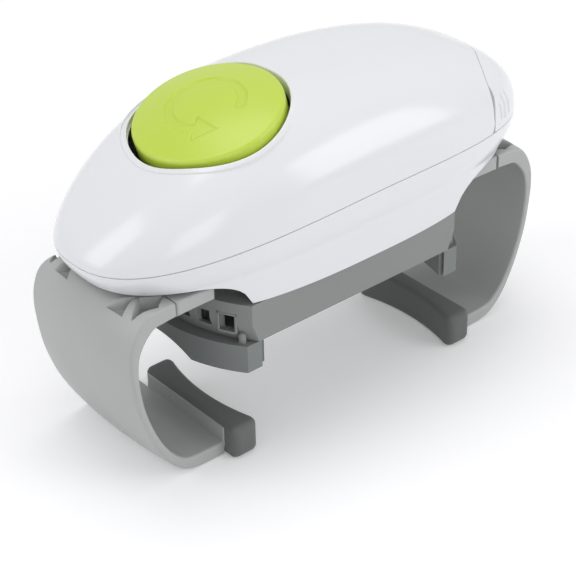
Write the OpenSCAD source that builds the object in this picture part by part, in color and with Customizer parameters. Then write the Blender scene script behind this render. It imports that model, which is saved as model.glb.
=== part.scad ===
// Battery jar opener: a domed housing over a turntable that grips and turns the lid,
// and two sliding arms that hold the jar. Origin on the ground below the turning axis,
// X along the housing, +Z up. Heights named "..._z" are measured from the parting line.

/* [Housing] */
// Length of the housing
housing_len = 200; // [190:1:220]
// Width of the housing at its parting line
housing_w = 89.8; // [86:0.1:100]
// Height of the crown above the parting line
dome_h = 36.6; // [35:0.1:42]
// How far the crown lies towards the button end
crown_shift = 23.6; // [15:0.1:26]
// Wall of the moulded shells
shell_wall = 2.4; // [1.8:0.1:2.8]
// Depth of the skirt's lower edge below the parting line
skirt_drop = 29.3; // [29:0.1:32]
// Depth of the band under the parting line at both ends
band_drop = 14.5; // [13.5:0.1:15.5]
// Length of the skirt's lower edge
skirt_len = 100.6; // [96:0.1:110]
// How far the parting line dips at both ends
seam_dip = 5.8; // [3:0.1:7]

/* [Start button] */
// Diameter of the button cap
button_d = 56.4; // [50:0.1:57]
// Distance of the button from the turning axis
button_offset = 38; // [37:0.5:39]
// Slope of the button's rim
button_slope = 15.5; // [14:0.5:17]
// Height of the cap's crown above its rim
button_crown = 6; // [5:0.1:7]
// Gap between the cap and its hole
button_gap = 1.1; // [0.9:0.1:1.4]
// Travel of the button
button_travel = 2; // [1:0.1:2.2]

/* [Turntable] */
// Width of the turntable bar
table_w = 74; // [70:0.5:76]
// Radius of the turntable's round ends
table_r = 62.5; // [61:0.1:64]
// Height of the turntable bar
table_h = 16.3; // [16:0.1:18]
// Wall of the turntable
table_wall = 2.6; // [2:0.1:3]
// Width of one window in the end wall
window_w = 5.8; // [4.5:0.1:6.2]
// Distance from one window to the next
window_pitch = 9.2; // [8.6:0.1:9.6]

/* [Lid jaws] */
// Diameter of the lid that the jaws hold as drawn
lid_d = 97.6; // [94:0.1:99]
// Height of the jaws below the turntable
jaw_drop = 11.5; // [9:0.1:14]
// Length of a jaw across the lid
jaw_w = 73; // [64:0.5:74]
// Thickness of the rubber on a jaw's face
jaw_rubber = 2.2; // [1.5:0.1:3]
// Travel of each jaw towards the axis
jaw_travel = 30; // [24:0.5:31]

/* [Jar arms] */
// Reach of an arm from the turning axis to its outer face
arm_reach = 100; // [98:0.5:104]
// Depth of the arms' lowest point below the parting line
arm_drop = 93.4; // [90:0.1:98]
// Width of an arm
arm_w = 63; // [56:0.5:64]
// Wall of an arm's outer leg
arm_wall = 3; // [2.5:0.1:4]
// Thickness of an arm's tongue
tongue_h = 5.8; // [5:0.1:6]
// Distance from the outer face of an arm to the back of its pad
pad_inset = 39; // [38:0.1:40]
// Height of a rubber pad
pad_h = 18.6; // [16:0.1:20]
// Thickness of a rubber pad at its ends
pad_t = 10.2; // [9:0.1:11]
// Length of a rubber pad
pad_len = 76; // [68:0.5:78]
// Travel of each arm towards the axis
arm_travel = 27; // [22:0.5:28]

/* [Gears] */
// Module of the drive gears
gear_module = 1; // [0.96:0.01:1.02]
// Teeth of each drive pinion
pinion_teeth = 10; // [10:1:11]
// Teeth of each drive wheel
wheel_teeth = 30; // [29:1:31]
// Teeth of the output gear on the spindle
output_teeth = 36; // [35:1:37]
// Face width of the drive gears
gear_face = 4; // [3.5:0.1:4.2]
// Module of the arm and jaw racks
rack_module = 1.5; // [1.4:0.05:1.55]
// Teeth of the arm pinion
arm_pinion_teeth = 16; // [16:1:17]
// Teeth of the jaw pinion
jaw_pinion_teeth = 12; // [12:1:13]
// Radius of the spindle
spindle_r = 5; // [4.5:0.1:5.2]
// Radius of the gear axles
axle_r = 1.5; // [1.2:0.1:1.8]

/* [Motor and cells] */
// Diameter of the motor
motor_d = 24; // [20:0.5:25]
// Length of the motor's can
motor_len = 24; // [20:0.5:25]
// Diameter of a cell
cell_d = 14.5; // [14:0.1:15]
// Length of a cell
cell_len = 50.5; // [48:0.5:51]

/* [Fits] */
// Radial clearance of a shaft in its hole
fit_gap = 0.05; // [0.02:0.01:0.1]
// Gap between pieces that slide past each other
slide_gap = 0.3; // [0.2:0.05:0.4]

/* [Hidden] */
$fn = 64;

overrun = 1;                 // how far a cutter runs past what it cuts
hx = housing_len / 2;
hy = housing_w / 2;
nose_power = 2.45;           // plan outline of the button end
tail_power = 2.92;           // plan outline of the battery end
around = 72;                 // points round the housing
seam_tilt = 2.5;             // rise of the parting line towards the battery end
seam_lift = 1.7;             // upturn of the parting line at its very ends
foot_flat = 0.2;             // depth of the flat under each arm
seam_z = arm_drop - foot_flat;   // height of the parting line above the ground

// Heights of the stack, measured from the parting line
table_top_z = -skirt_drop - slide_gap;
table_low_z = table_top_z - table_h;
floor_top_z = slide_gap * 8 - band_drop;
tongue_low_z = -24.3;
tongue_top_z = tongue_low_z + tongue_h;
plate_t = 2;                 // thickness of the guide plate and the gear plate
guide_top_z = tongue_low_z - slide_gap;
bush_flange = 1;
layer_gap = 0.5;             // gap between two layers of gears
layer_3_z = floor_top_z + bush_flange + 0.2;
layer_2_z = layer_3_z + gear_face + layer_gap;
layer_1_z = layer_2_z + gear_face + layer_gap;
gear_plate_z = layer_1_z + gear_face + layer_gap;
motor_z = gear_plate_z + plate_t;

// Gear centres: the train runs from the motor round to the spindle
function pitch_r(m, teeth) = m * teeth / 2;
pinion_r = pitch_r(gear_module, pinion_teeth);
wheel_r = pitch_r(gear_module, wheel_teeth);
output_r = pitch_r(gear_module, output_teeth);
arm_pinion_r = pitch_r(rack_module, arm_pinion_teeth);
jaw_pinion_r = pitch_r(rack_module, jaw_pinion_teeth);
second_turn = 120;           // direction from the spindle to the second gear
first_turn = 0;              // direction from the second gear to the first gear
motor_turn = -75;            // direction from the first gear to the motor
function polar(r, a) = [r * cos(a), r * sin(a)];
second_at = polar(output_r + pinion_r, second_turn);
first_at = second_at + polar(wheel_r + pinion_r, first_turn);
motor_at = first_at + polar(wheel_r + pinion_r, motor_turn);

// Turn of a gear that puts its gap on the tooth of the gear it meshes with
function mesh_turn(teeth, mate_teeth, mate_turn, direction) =
    let (mate_phase = (direction - mate_turn) * mate_teeth / 360)
    direction + 180 - (0.5 - mate_phase) * 360 / teeth;
output_turn = 0;
second_pinion_turn = mesh_turn(pinion_teeth, output_teeth, output_turn, second_turn);
first_pinion_turn = mesh_turn(pinion_teeth, wheel_teeth, second_pinion_turn, first_turn);
motor_pinion_turn = mesh_turn(pinion_teeth, wheel_teeth, first_pinion_turn, motor_turn);

// ---- outline functions ----------------------------------------------------

function signed_power(v, e) = sign(v) * pow(abs(v) + 1e-9, e);
function plan_power(t) = cos(t) < 0 ? nose_power : tail_power;
function plan_point(t, inset_x, inset_y) = [
    (hx - inset_x) * signed_power(cos(t), 2 / plan_power(t)),
    (hy - inset_y) * signed_power(sin(t), 2 / plan_power(t))];
function turn(i) = 360 * (i + 0.5) / around;
function seam_at(x) = seam_tilt * x / hx - seam_dip * pow(x / hx, 2) * (1 + seam_lift / 5)
    + seam_lift * pow(x / hx, 4);

nose_profile = 1.49;         // the long slope at the button end
tail_profile = 2.55;         // the full end over the cells
side_profile = 2.37;
function dome_power(t) = (cos(t) < 0 ? nose_profile : tail_profile) * pow(cos(t), 2)
    + side_profile * pow(sin(t), 2);
function dome_point(t, lift, inset) =
    let (power = 2 / dome_power(t), reach = pow(cos(lift) + 1e-9, power),
        rise = pow(sin(lift) + 1e-9, power), p = plan_point(t, inset, inset))
    [p.x * reach - crown_shift * (1 - reach), p.y * reach,
        (dome_h - inset) * rise + seam_at(p.x) * reach];
function dome_ring(lift, inset) = [for (i = [0:around - 1]) dome_point(turn(i), lift, inset)];

// Insets of the lower shell at a share of its depth: the band curves in, the skirt drops
band_share = 0.45;
function side_inset(share) = share < band_share
    ? 2.6 * pow(share / band_share, 2) : 2.6 + 1.6 * (share - band_share) / (1 - band_share);
function end_inset(share) = share < band_share
    ? 5.5 * pow(share / band_share, 1.6) : 5.5 + 8 * (share - band_share) / (1 - band_share);
function skirt_point(t, share, inset) =
    let (p = plan_point(t, end_inset(share) + inset, side_inset(share) + inset))
    [p.x, p.y, seam_at(p.x) * (1 - share) - (skirt_drop) * share];
function skirt_ring(share, inset) = [for (i = [0:around - 1]) skirt_point(turn(i), share, inset)];

// Mean of a ring's points
function middle(ring) = [for (k = [0:2]) [for (p = ring) p[k]] * [for (p = ring) 1] / len(ring)];

// Closed body through stacked rings of equal count, ends closed to a middle point
module loft(rings) {
    count = len(rings[0]);
    layers = len(rings);
    points = [for (ring = rings) each ring, middle(rings[0]), middle(rings[layers - 1])];
    low = count * layers;
    polyhedron(points, [
        for (k = [0:layers - 2], i = [0:count - 1])
            let (a = k * count + i, b = k * count + (i + 1) % count) each [
                [a, a + count, b], [b, a + count, b + count]],
        for (i = [0:count - 1]) [low, i, (i + 1) % count],
        for (i = [0:count - 1])
            [low + 1, (layers - 1) * count + (i + 1) % count, (layers - 1) * count + i]]);
}

// Closed shell between an outer and an inner set of rings that share a rim
module shell_loft(outer, inner) {
    count = len(outer[0]);
    n_out = len(outer);
    n_in = len(inner);
    inner_at = count * n_out;
    out_top = count * (n_out + n_in);
    points = [for (ring = outer) each ring, for (ring = inner) each ring,
        middle(outer[n_out - 1]), middle(inner[n_in - 1])];
    function strip(at, next, i, flip) =
        let (j = (i + 1) % count)
        flip ? [[at + i, at + j, next + i], [at + j, next + j, next + i]]
             : [[at + i, next + i, at + j], [at + j, next + i, next + j]];
    polyhedron(points, [
        for (k = [0:n_out - 2], i = [0:count - 1]) each strip(k * count, (k + 1) * count, i, false),
        for (k = [0:n_in - 2], i = [0:count - 1])
            each strip(inner_at + k * count, inner_at + (k + 1) * count, i, true),
        for (i = [0:count - 1]) each strip(0, inner_at, i, true),
        for (i = [0:count - 1])
            [out_top, (n_out - 1) * count + (i + 1) % count, (n_out - 1) * count + i],
        for (i = [0:count - 1])
            [out_top + 1, inner_at + (n_in - 1) * count + i, inner_at + (n_in - 1) * count + (i + 1) % count]]);
}

// ---- small shared shapes ---------------------------------------------------

module tube(outer_r, inner_r, h) {
    difference() {
        cylinder(r = outer_r, h = h);
        translate([0, 0, -overrun]) cylinder(r = inner_r, h = h + 2 * overrun);
    }
}

// Outline of a spur gear: one tapered tooth per step
tooth_tip = 0.8;             // tip height in modules
tooth_root = 1.15;           // root depth in modules
module gear_outline(m, teeth) {
    r = pitch_r(m, teeth);
    step = 360 / teeth;
    polygon([for (i = [0:teeth - 1]) each [
        polar(r - tooth_root * m, (i - 0.31) * step), polar(r, (i - 0.215) * step),
        polar(r + tooth_tip * m, (i - 0.10) * step), polar(r + tooth_tip * m, (i + 0.10) * step),
        polar(r, (i + 0.215) * step), polar(r - tooth_root * m, (i + 0.31) * step)]]);
}

module spur(m, teeth, bore_r, face, turned) {
    rotate(turned) difference() {
        linear_extrude(face) gear_outline(m, teeth);
        translate([0, 0, -overrun]) cylinder(r = bore_r, h = face + 2 * overrun);
    }
}

// Toothed edge along X, teeth towards -Y, pitch line on y = 0, a gap at x = 0
module rack_outline(m, x_low, x_high, back) {
    pitch = PI * m;
    first = ceil(x_low / pitch - 0.5 + 0.35);
    last = floor(x_high / pitch - 0.5 - 0.35);
    polygon([[x_low, back], [x_low, tooth_root * m],
        for (i = [first:last]) let (c = (i + 0.5) * pitch) each [
            [c - 0.31 * pitch, tooth_root * m], [c - 0.215 * pitch, 0],
            [c - 0.10 * pitch, -tooth_tip * m], [c + 0.10 * pitch, -tooth_tip * m],
            [c + 0.215 * pitch, 0], [c + 0.31 * pitch, tooth_root * m]],
        [x_high, tooth_root * m], [x_high, back]]);
}

module pan_screw(shank_r, shank_len, head_r) {
    head_h = shank_r * 1.1;
    difference() {
        union() {
            cylinder(r = head_r, h = head_h);
            translate([0, 0, -shank_len]) cylinder(r = shank_r, h = shank_len + overrun / 2);
        }
        for (a = [0, 90]) rotate(a)
            translate([-head_r * 0.6, -shank_r * 0.2, head_h * 0.45])
                cube([head_r * 1.2, shank_r * 0.4, head_h]);
    }
}

// ---- upper shell, door and button -------------------------------------------

outer_lifts = [0, 4, 9, 15, 22, 30, 38, 46, 54, 62, 70, 77, 83, 87.5];
inner_lifts = [0, 8, 18, 29, 40, 51, 62, 72, 81, 87];
door_arc_r = 53;             // the door's edge is an arc in plan
door_x = 84;                 // where that arc crosses the middle
door_gap = 0.4;
door_travel = 30;

module dome_shell() {
    shell_loft([for (a = outer_lifts) dome_ring(a, 0)], [for (a = inner_lifts) dome_ring(a, shell_wall)]);
}

// Everything past the door's edge
module door_side(gap) {
    difference() {
        translate([0, -hy - overrun, -dome_h])
            cube([hx + overrun, housing_w + 2 * overrun, 2 * dome_h + overrun]);
        translate([door_x - door_arc_r, 0, -dome_h - overrun])
            cylinder(r = door_arc_r + gap, h = 2 * dome_h + 3 * overrun);
        translate([-overrun, -hy - 2 * overrun, -dome_h - overrun])
            cube([door_x - door_arc_r + 38 + gap, housing_w + 4 * overrun, 2 * dome_h + 3 * overrun]);
    }
}

module upper_shell() {
    color("#eceef2") translate([0, 0, seam_z]) difference() {
        dome_shell();
        translate([-button_offset, 0, 0]) cylinder(r = button_d / 2 + button_gap, h = dome_h + overrun);
        door_side(0);
    }
}

// The door carries two ribs that press the contact plate on the cells
module battery_door() {
    rib_x = contact_x + contact_t + 0.05;
    color("#eceef2") translate([0, 0, seam_z]) {
        intersection() {
            dome_shell();
            door_side(door_gap);
        }
        for (y = [-1, 1]) translate([0, y * cell_y + 0.8, 0]) rotate([90, 0, 0]) linear_extrude(1.6)
            polygon([[rib_x, 0.5], for (lift = [8:6:32]) let (p = dome_point(0, lift, shell_wall * 0.7)) [p.x, p.z],
                [rib_x, 12]]);
    }
}

button_at_z = 28.4;          // height of the rim's middle above the parting line
button_edge = 1.8;           // rounding of the cap's edge
cap_depth = 6;
cap_wall = 2.2;
module cap_profile() {
    r = button_d / 2;
    flat_r = r - button_edge;
    crown = button_crown - button_edge;
    ball = (flat_r * flat_r + crown * crown) / (2 * crown);
    polygon([
        for (i = [0:8]) let (x = flat_r * i / 8) [x, button_edge + crown - ball + sqrt(ball * ball - x * x)],
        for (a = [75:-15:0]) [flat_r + button_edge * cos(a), button_edge * sin(a)],
        [r, -cap_depth], [r - cap_wall, -cap_depth],
        [r - cap_wall, button_edge - cap_wall], [0, button_crown - cap_wall - 1.6]]);
}

stem_r = 3.4;
module start_button() {
    color("#c8e050") translate([-button_offset, 0, seam_z]) {
        difference() {
            translate([0, 0, button_at_z]) rotate([0, -button_slope, 0]) rotate_extrude() cap_profile();
            translate([-hx, -hy, -dome_h])
                cube([housing_len, housing_w, dome_h + board_top_z + button_travel + 0.5]);
        }
        translate([0, 0, plunger_top_z + 0.05]) cylinder(r = stem_r, h = button_at_z + 2 - plunger_top_z);
        translate([0, 0, spring_top_z + 0.05]) tube(coil_r + 1.6, coil_r - 1.6, button_at_z - spring_top_z);
    }
}

// ---- switch, board and their frame -------------------------------------------

board_z = 11.4;
board_t = 1.6;
board_len = 38;
board_w = 28;
switch_w = 12;
switch_h = 4;
plunger_r = 1.8;
board_top_z = board_z + board_t;
switch_top_z = board_top_z + switch_h;
plunger_top_z = switch_top_z + button_travel + 0.5;
spring_top_z = button_at_z - 3.4;

module control_board() {
    color("#2f6b45") translate([-button_offset, 0, seam_z + board_z]) difference() {
        translate([-board_len / 2, -board_w / 2, 0]) cube([board_len, board_w, board_t]);
        for (x = [-1, 1], y = [-1, 1])
            translate([x * (board_len / 2 - 3), y * (board_w / 2 - 3), -overrun])
                cylinder(r = frame_pin_r + fit_gap, h = board_t + 2 * overrun);
    }
}

frame_pin_r = 1.2;
module board_frame() {
    color("#d9dbde") translate([-button_offset, 0, seam_z]) {
        for (x = [-1, 1], y = [-1, 1]) translate([x * (board_len / 2 - 3), y * (board_w / 2 - 3), 0]) {
            // two legs stand on the floor, the inner two on the gear plate
            foot_z = (x < 0 ? floor_top_z : motor_z) + 0.05;
            translate([0, 0, foot_z]) cylinder(r = 2.6, h = board_z - foot_z - 0.05);
            translate([0, 0, board_z - overrun]) cylinder(r = frame_pin_r, h = board_t + overrun + 1);
        }
        for (y = [-1, 1])
            translate([-board_len / 2 + 3, y * (board_w / 2 - 3) - 0.8, board_z - 5])
                cube([board_len - 6, 1.6, 4]);
        translate([-board_len / 2 + 2.2, -board_w / 2 + 3, board_z - 5]) cube([1.6, board_w - 6, 4]);
    }
}

module switch_body() {
    color("#2b2c2e") translate([-button_offset, 0, seam_z + board_top_z]) difference() {
        translate([-switch_w / 2, -switch_w / 2, 0]) cube([switch_w, switch_w, switch_h]);
        translate([0, 0, 0.6]) cylinder(r = plunger_r + fit_gap, h = switch_h);
    }
}

module switch_plunger() {
    color("#d8483c") translate([-button_offset, 0, seam_z + board_top_z + 0.7 + button_travel])
        cylinder(r = plunger_r, h = plunger_top_z - board_top_z - 0.7 - button_travel);
}

// Coil of round wire, standing on the board round the switch
coil_r = 9.6;
wire_r = 0.5;
coil_turns = 5;
wire_sides = 6;
turn_steps = 16;
module button_spring() {
    spring_h = spring_top_z - board_top_z - 2 * wire_r - 0.05;
    steps = coil_turns * turn_steps;
    rings = [for (i = [0:steps]) let (a = 360 * i / turn_steps)
        [for (k = [0:wire_sides - 1]) let (b = 360 * k / wire_sides, r = coil_r + wire_r * cos(b))
            [r * cos(a), r * sin(a), wire_r + 0.05 + spring_h * i / steps + wire_r * sin(b)]]];
    color("#b9bcc0") translate([-button_offset, 0, seam_z + board_top_z]) mirror([0, 1, 0]) loft(rings);
}

// ---- lower shell --------------------------------------------------------------

skirt_shares = [0, 0.1, 0.2, 0.32, band_share, 0.62, 0.8, 1];
bush_r = 7;
cover_post = [[-40, -24], [40, -24], [-40, 24], [40, 24]];
plate_post = [[-30, 4], [-15, -18], [20, -16], [-30, 33]];

// Underside at both ends: a quarter round up to the band's lower edge
module end_cutter() {
    rise = skirt_drop - band_drop;
    run = 22;
    half = skirt_len / 2;
    rotate([90, 0, 0]) linear_extrude(housing_w + 2 * overrun, center = true)
        polygon([[half, -skirt_drop - overrun],
            for (a = [0:7.5:90]) [half + run * (1 - cos(a)), -skirt_drop + rise * sin(a)],
            [hx + overrun, -band_drop], [hx + overrun, -skirt_drop - overrun]]);
}

module lower_body(inset, lift) {
    loft([for (k = [len(skirt_shares) - 1:-1:0]) skirt_ring(skirt_shares[k], inset),
        if (lift > 0) [for (p = skirt_ring(0, inset)) [p.x, p.y, p.z + lift]]]);
}

module lower_shell() {
    color("#eceef2") translate([0, 0, seam_z]) {
        difference() {
            lower_body(0, 0);
            difference() {
                lower_body(shell_wall, 4);
                translate([-hx, -hy, -band_drop]) cube([housing_len, housing_w, floor_top_z + band_drop]);
            }
            translate([-hx, -hy, -skirt_drop - overrun]) cube([housing_len, housing_w, overrun]);
            end_cutter();
            mirror([1, 0, 0]) end_cutter();
            translate([0, 0, -skirt_drop]) cylinder(r = bush_r + fit_gap, h = skirt_drop);
            for (p = plate_post) translate([p.x, p.y, floor_top_z - screw_bite - 0.1])
                cylinder(r = screw_r + fit_gap, h = screw_bite + overrun);
        }
        // rails that hold the arm tongues down, and posts for the guide plate
        for (y = [-1, 1]) translate([-guide_half, y * (arm_pinion_r + rack_back / 2) - 1, tongue_top_z + slide_gap])
            cube([2 * guide_half, 2, -band_drop - tongue_top_z - slide_gap + 0.5]);
        difference() {
            for (p = guide_post) translate([p.x, p.y, guide_top_z]) cylinder(r = post_r, h = floor_top_z - guide_top_z - 1);
            for (p = guide_post) translate([p.x, p.y, guide_top_z - overrun])
                cylinder(r = screw_r + fit_gap, h = floor_top_z - guide_top_z + 2 * overrun);
        }
    }
}

// ---- gear case ------------------------------------------------------------------

module gear_plate() {
    margin = 5;
    color("#c9ccd0") translate([0, 0, seam_z]) difference() {
        union() {
            translate([0, 0, gear_plate_z]) linear_extrude(plate_t) hull()
                for (p = concat(plate_post, [motor_at + [4, 0], first_at])) translate(p) circle(r = margin + 1.5);
            for (p = plate_post) translate([p.x, p.y, floor_top_z]) cylinder(r = 3.4, h = gear_plate_z - floor_top_z + 0.5);
        }
        for (p = [second_at, first_at]) translate([p.x, p.y, gear_plate_z - overrun])
            cylinder(r = axle_r + fit_gap, h = plate_t + 2 * overrun);
        translate([0, 0, gear_plate_z - overrun]) cylinder(r = stub_r + fit_gap, h = plate_t + 2 * overrun);
        translate([motor_at.x, motor_at.y, gear_plate_z - overrun]) cylinder(r = 4.2, h = plate_t + 2 * overrun);
        for (p = plate_post) translate([p.x, p.y, floor_top_z - overrun])
            cylinder(r = screw_r + fit_gap, h = motor_z - floor_top_z + 2 * overrun);
    }
}

screw_r = 1.4;
screw_bite = 1.5;            // how deep a screw goes into the floor
head_r = 2.7;
post_r = 3.2;
stub_r = 3;
module plate_screws() {
    color("#b4b7ba") for (p = plate_post) translate([p.x, p.y, seam_z + motor_z + 0.05])
        pan_screw(screw_r, motor_z - floor_top_z + screw_bite, head_r);
}

module motor() {
    color("#b9bcc0") translate([motor_at.x, motor_at.y, seam_z + motor_z + 0.05]) {
        difference() {
            union() {
                cylinder(r = motor_d / 2, h = motor_len);
                translate([0, 0, motor_len - overrun]) cylinder(r = 5, h = overrun + 1.2);
                translate([0, 0, -1.6]) cylinder(r = 4, h = 1.6 + overrun);
            }
            for (x = [-1, 1]) translate([x * 10.2, 0, motor_len - 1]) cylinder(r = 1, h = 2);
        }
        translate([0, 0, layer_1_z - motor_z]) cylinder(r = motor_shaft_r, h = motor_z - layer_1_z);
    }
}

motor_shaft_r = 1;
module motor_pinion() {
    color("#c9a24a") translate([motor_at.x, motor_at.y, seam_z + layer_1_z])
        spur(gear_module, pinion_teeth, motor_shaft_r + fit_gap, gear_face, motor_pinion_turn);
}

// A wheel with a pinion under it, on one bore
module compound_gear(pinion_turn) {
    difference() {
        union() {
            rotate(pinion_turn) linear_extrude(gear_face + layer_gap + 0.5) gear_outline(gear_module, pinion_teeth);
            translate([0, 0, gear_face + layer_gap]) rotate(pinion_turn)
                linear_extrude(gear_face) gear_outline(gear_module, wheel_teeth);
        }
        translate([0, 0, -overrun]) cylinder(r = axle_r + fit_gap, h = 2 * gear_face + layer_gap + 2 * overrun);
        translate([0, 0, 2 * gear_face + layer_gap - 1]) difference() {
            cylinder(r = wheel_r - 3, h = 2);
            cylinder(r = pinion_r, h = 2);
        }
    }
}

module first_gear() {
    color("#e6e3d8") translate([first_at.x, first_at.y, seam_z + layer_2_z]) compound_gear(first_pinion_turn);
}

module second_gear() {
    color("#e6e3d8") translate([second_at.x, second_at.y, seam_z + layer_3_z]) compound_gear(second_pinion_turn);
}

module output_gear() {
    color("#e6e3d8") translate([0, 0, seam_z + layer_3_z])
        spur(gear_module, output_teeth, stub_r + fit_gap, gear_face, output_turn);
}

module gear_axles() {
    color("#b9bcc0") for (p = [second_at, first_at])
        translate([p.x, p.y, seam_z + floor_top_z]) cylinder(r = axle_r, h = motor_z - floor_top_z);
}

module spindle_bush() {
    color("#b98f45") translate([0, 0, seam_z]) difference() {
        union() {
            translate([0, 0, tongue_low_z]) cylinder(r = bush_r, h = floor_top_z - tongue_low_z + 0.5);
            translate([0, 0, floor_top_z + 0.05]) cylinder(r = bush_r + 2.5, h = bush_flange - 0.05);
        }
        translate([0, 0, tongue_low_z - overrun]) cylinder(r = spindle_r + fit_gap, h = band_drop + 10);
    }
}

pin_top_z = table_top_z - table_wall;      // underside of the turntable's roof
module spindle() {
    color("#b9bcc0") translate([0, 0, seam_z]) {
        translate([0, 0, table_low_z + plate_t]) cylinder(r = stub_r, h = pin_top_z - table_low_z - plate_t + overrun);
        translate([0, 0, pin_top_z]) cylinder(r = spindle_r, h = layer_3_z - pin_top_z - 0.1);
        translate([0, 0, layer_3_z - overrun]) cylinder(r = stub_r, h = motor_z - layer_3_z + overrun - 0.3);
    }
}

module spindle_clip() {
    color("#8e9296") translate([0, 0, seam_z + layer_3_z + gear_face + 0.1]) tube(stub_r + 2.6, stub_r + fit_gap, 0.8);
}

washer_t = 1.4;
hub_top_z = guide_top_z - washer_t - 2 * slide_gap;
module thrust_washer() {
    color("#d8d4c4") translate([0, 0, seam_z + guide_top_z - washer_t]) tube(bush_r + 3, spindle_r + fit_gap, washer_t);
}

pinion_low_z = tongue_low_z + 0.2;
module arm_pinion() {
    color("#e6e3d8") translate([0, 0, seam_z + pinion_low_z])
        spur(rack_module, arm_pinion_teeth, bush_r + fit_gap, tongue_h - 0.4, 90);
}

guide_post = [[-26, 27], [26, 27], [-26, -27], [26, -27]];
guide_half = skirt_len / 2 - 1.5;
rail_half = 30;              // half length of the plate's side rails
// Half width inside the skirt's lower edge at a distance along it
function skirt_room(x) = (hy - side_inset(1) - shell_wall - slide_gap)
    * pow(1 - pow(x / (hx - end_inset(1) - shell_wall), nose_power), 1 / nose_power);
module guide_plate() {
    rail_in = arm_w / 2 + slide_gap;
    end_half = skirt_room(guide_half);
    side_half = skirt_room(rail_half);
    color("#d5d8db") translate([0, 0, seam_z]) difference() {
        union() {
            translate([-guide_half, -end_half, guide_top_z - plate_t]) cube([2 * guide_half, 2 * end_half, plate_t]);
            translate([-rail_half, -side_half, guide_top_z - plate_t]) cube([2 * rail_half, 2 * side_half, plate_t]);
            for (y = [-1, 1]) translate([-rail_half, y > 0 ? rail_in : -side_half, guide_top_z - 0.5])
                cube([2 * rail_half, side_half - rail_in, 3]);
        }
        translate([0, 0, guide_top_z - plate_t - overrun]) cylinder(r = bush_r + 3 + slide_gap, h = plate_t + 2 * overrun);
        for (p = guide_post) translate([p.x, p.y, guide_top_z - plate_t - overrun])
            cylinder(r = screw_r + fit_gap, h = plate_t + 2 * overrun);
    }
}

module guide_screws() {
    color("#b4b7ba") for (p = guide_post) translate([p.x, p.y, seam_z + guide_top_z - plate_t - 0.05])
        mirror([0, 0, 1]) pan_screw(screw_r, 9, head_r - 0.2);
}

// ---- turntable ----------------------------------------------------------------

cone_z = table_top_z - table_h * 0.52;     // the ends lean in below this height
table_low_r = table_r - 2.5;
window_h = 6.6;
window_z = table_low_z + 4.2;
module table_ends(less) {
    translate([0, 0, cone_z]) cylinder(r = table_r - less, h = table_top_z - cone_z);
    translate([0, 0, table_low_z]) cylinder(r1 = table_low_r - less, r2 = table_r - less, h = cone_z - table_low_z);
}

module turntable() {
    half = table_w / 2;
    color("#8e9492") translate([0, 0, seam_z]) difference() {
        union() {
            intersection() {
                table_ends(0);
                translate([-table_r, -half, table_low_z - overrun]) cube([2 * table_r, table_w, table_h + 2 * overrun]);
            }
            translate([0, 0, table_top_z - 0.5]) cylinder(r = 10, h = hub_top_z - table_top_z + 0.5);
        }
        difference() {
            intersection() {
                translate([0, 0, -table_wall]) table_ends(table_wall);
                translate([-table_r, -half + table_wall, table_low_z - 2 * table_wall])
                    cube([2 * table_r, table_w - 2 * table_wall, table_h + table_wall]);
            }
            for (p = cover_post) translate([p.x, p.y, table_low_z + plate_t + 0.05])
                tube(cover_boss_r, screw_r + fit_gap, table_h);
        }
        translate([0, 0, pin_top_z - overrun]) cylinder(r = spindle_r + fit_gap, h = table_h);
        for (k = [-3:3]) if (k != 0)
            translate([-table_r - overrun, (k - sign(k) / 2) * window_pitch + sign(k) * 5.6 - window_w / 2, window_z])
                cube([2 * table_r + 2 * overrun, window_w, window_h]);
    }
}

// ---- jaws ------------------------------------------------------------------------

jaw_top_z = table_low_z - slide_gap;
jaw_low_z = jaw_top_z - jaw_drop;
jaw_rack_y = jaw_pinion_r;                 // pitch line of the jaw racks
jaw_rack_t = 6;                            // from the pitch line to the bar's back
jaw_rack_z = table_low_z + plate_t + 0.4;
jaw_rack_h = 5;
jaw_stem_x = 53.2;                         // middle of the stem that joins jaw and rack
jaw_stem_w = 4;
jaw_bar_y = jaw_rack_y + (jaw_rack_t + tooth_root * rack_module) / 2;
jaw_pin_r = 1.6;
jaw_pin_h = 4;
jaw_out = 1;                               // travel away from the axis
module jaw_pinion() {
    color("#e6e3d8") translate([0, 0, seam_z + jaw_rack_z + 0.2])
        spur(rack_module, jaw_pinion_teeth, stub_r + fit_gap, jaw_rack_h - 0.4, 90);
}

module table_cover() {
    half = table_w / 2 - table_wall - slide_gap;
    bar_low_y = jaw_rack_y + tooth_root * rack_module;
    color("#7f8583") translate([0, 0, seam_z + table_low_z]) difference() {
        intersection() {
            cylinder(r = table_low_r - table_wall - slide_gap, h = plate_t);
            translate([-table_r, -half, -overrun]) cube([2 * table_r, 2 * half, plate_t + 2 * overrun]);
        }
        for (turned = [0, 180]) rotate(turned)
            translate([jaw_stem_x - jaw_stem_w / 2 - jaw_travel - slide_gap, bar_low_y - slide_gap, -overrun])
                cube([jaw_travel + jaw_out + jaw_stem_w + 2 * slide_gap + 10,
                    jaw_rack_t - tooth_root * rack_module + 2 * slide_gap, plate_t + 2 * overrun]);
        for (p = cover_post) translate([p.x, p.y, -overrun]) {
            cylinder(r = screw_r + fit_gap, h = plate_t + 2 * overrun);
            cylinder(r = cover_head_r + fit_gap, h = overrun + cover_sink);
        }
    }
}

cover_boss_r = 3.2;
cover_head_r = 2.4;
cover_sink = 1.5;
module cover_screws() {
    color("#b4b7ba") for (p = cover_post) translate([p.x, p.y, seam_z + table_low_z + cover_sink - 0.05])
        mirror([0, 0, 1]) pan_screw(screw_r, 8, cover_head_r);
}

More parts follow.
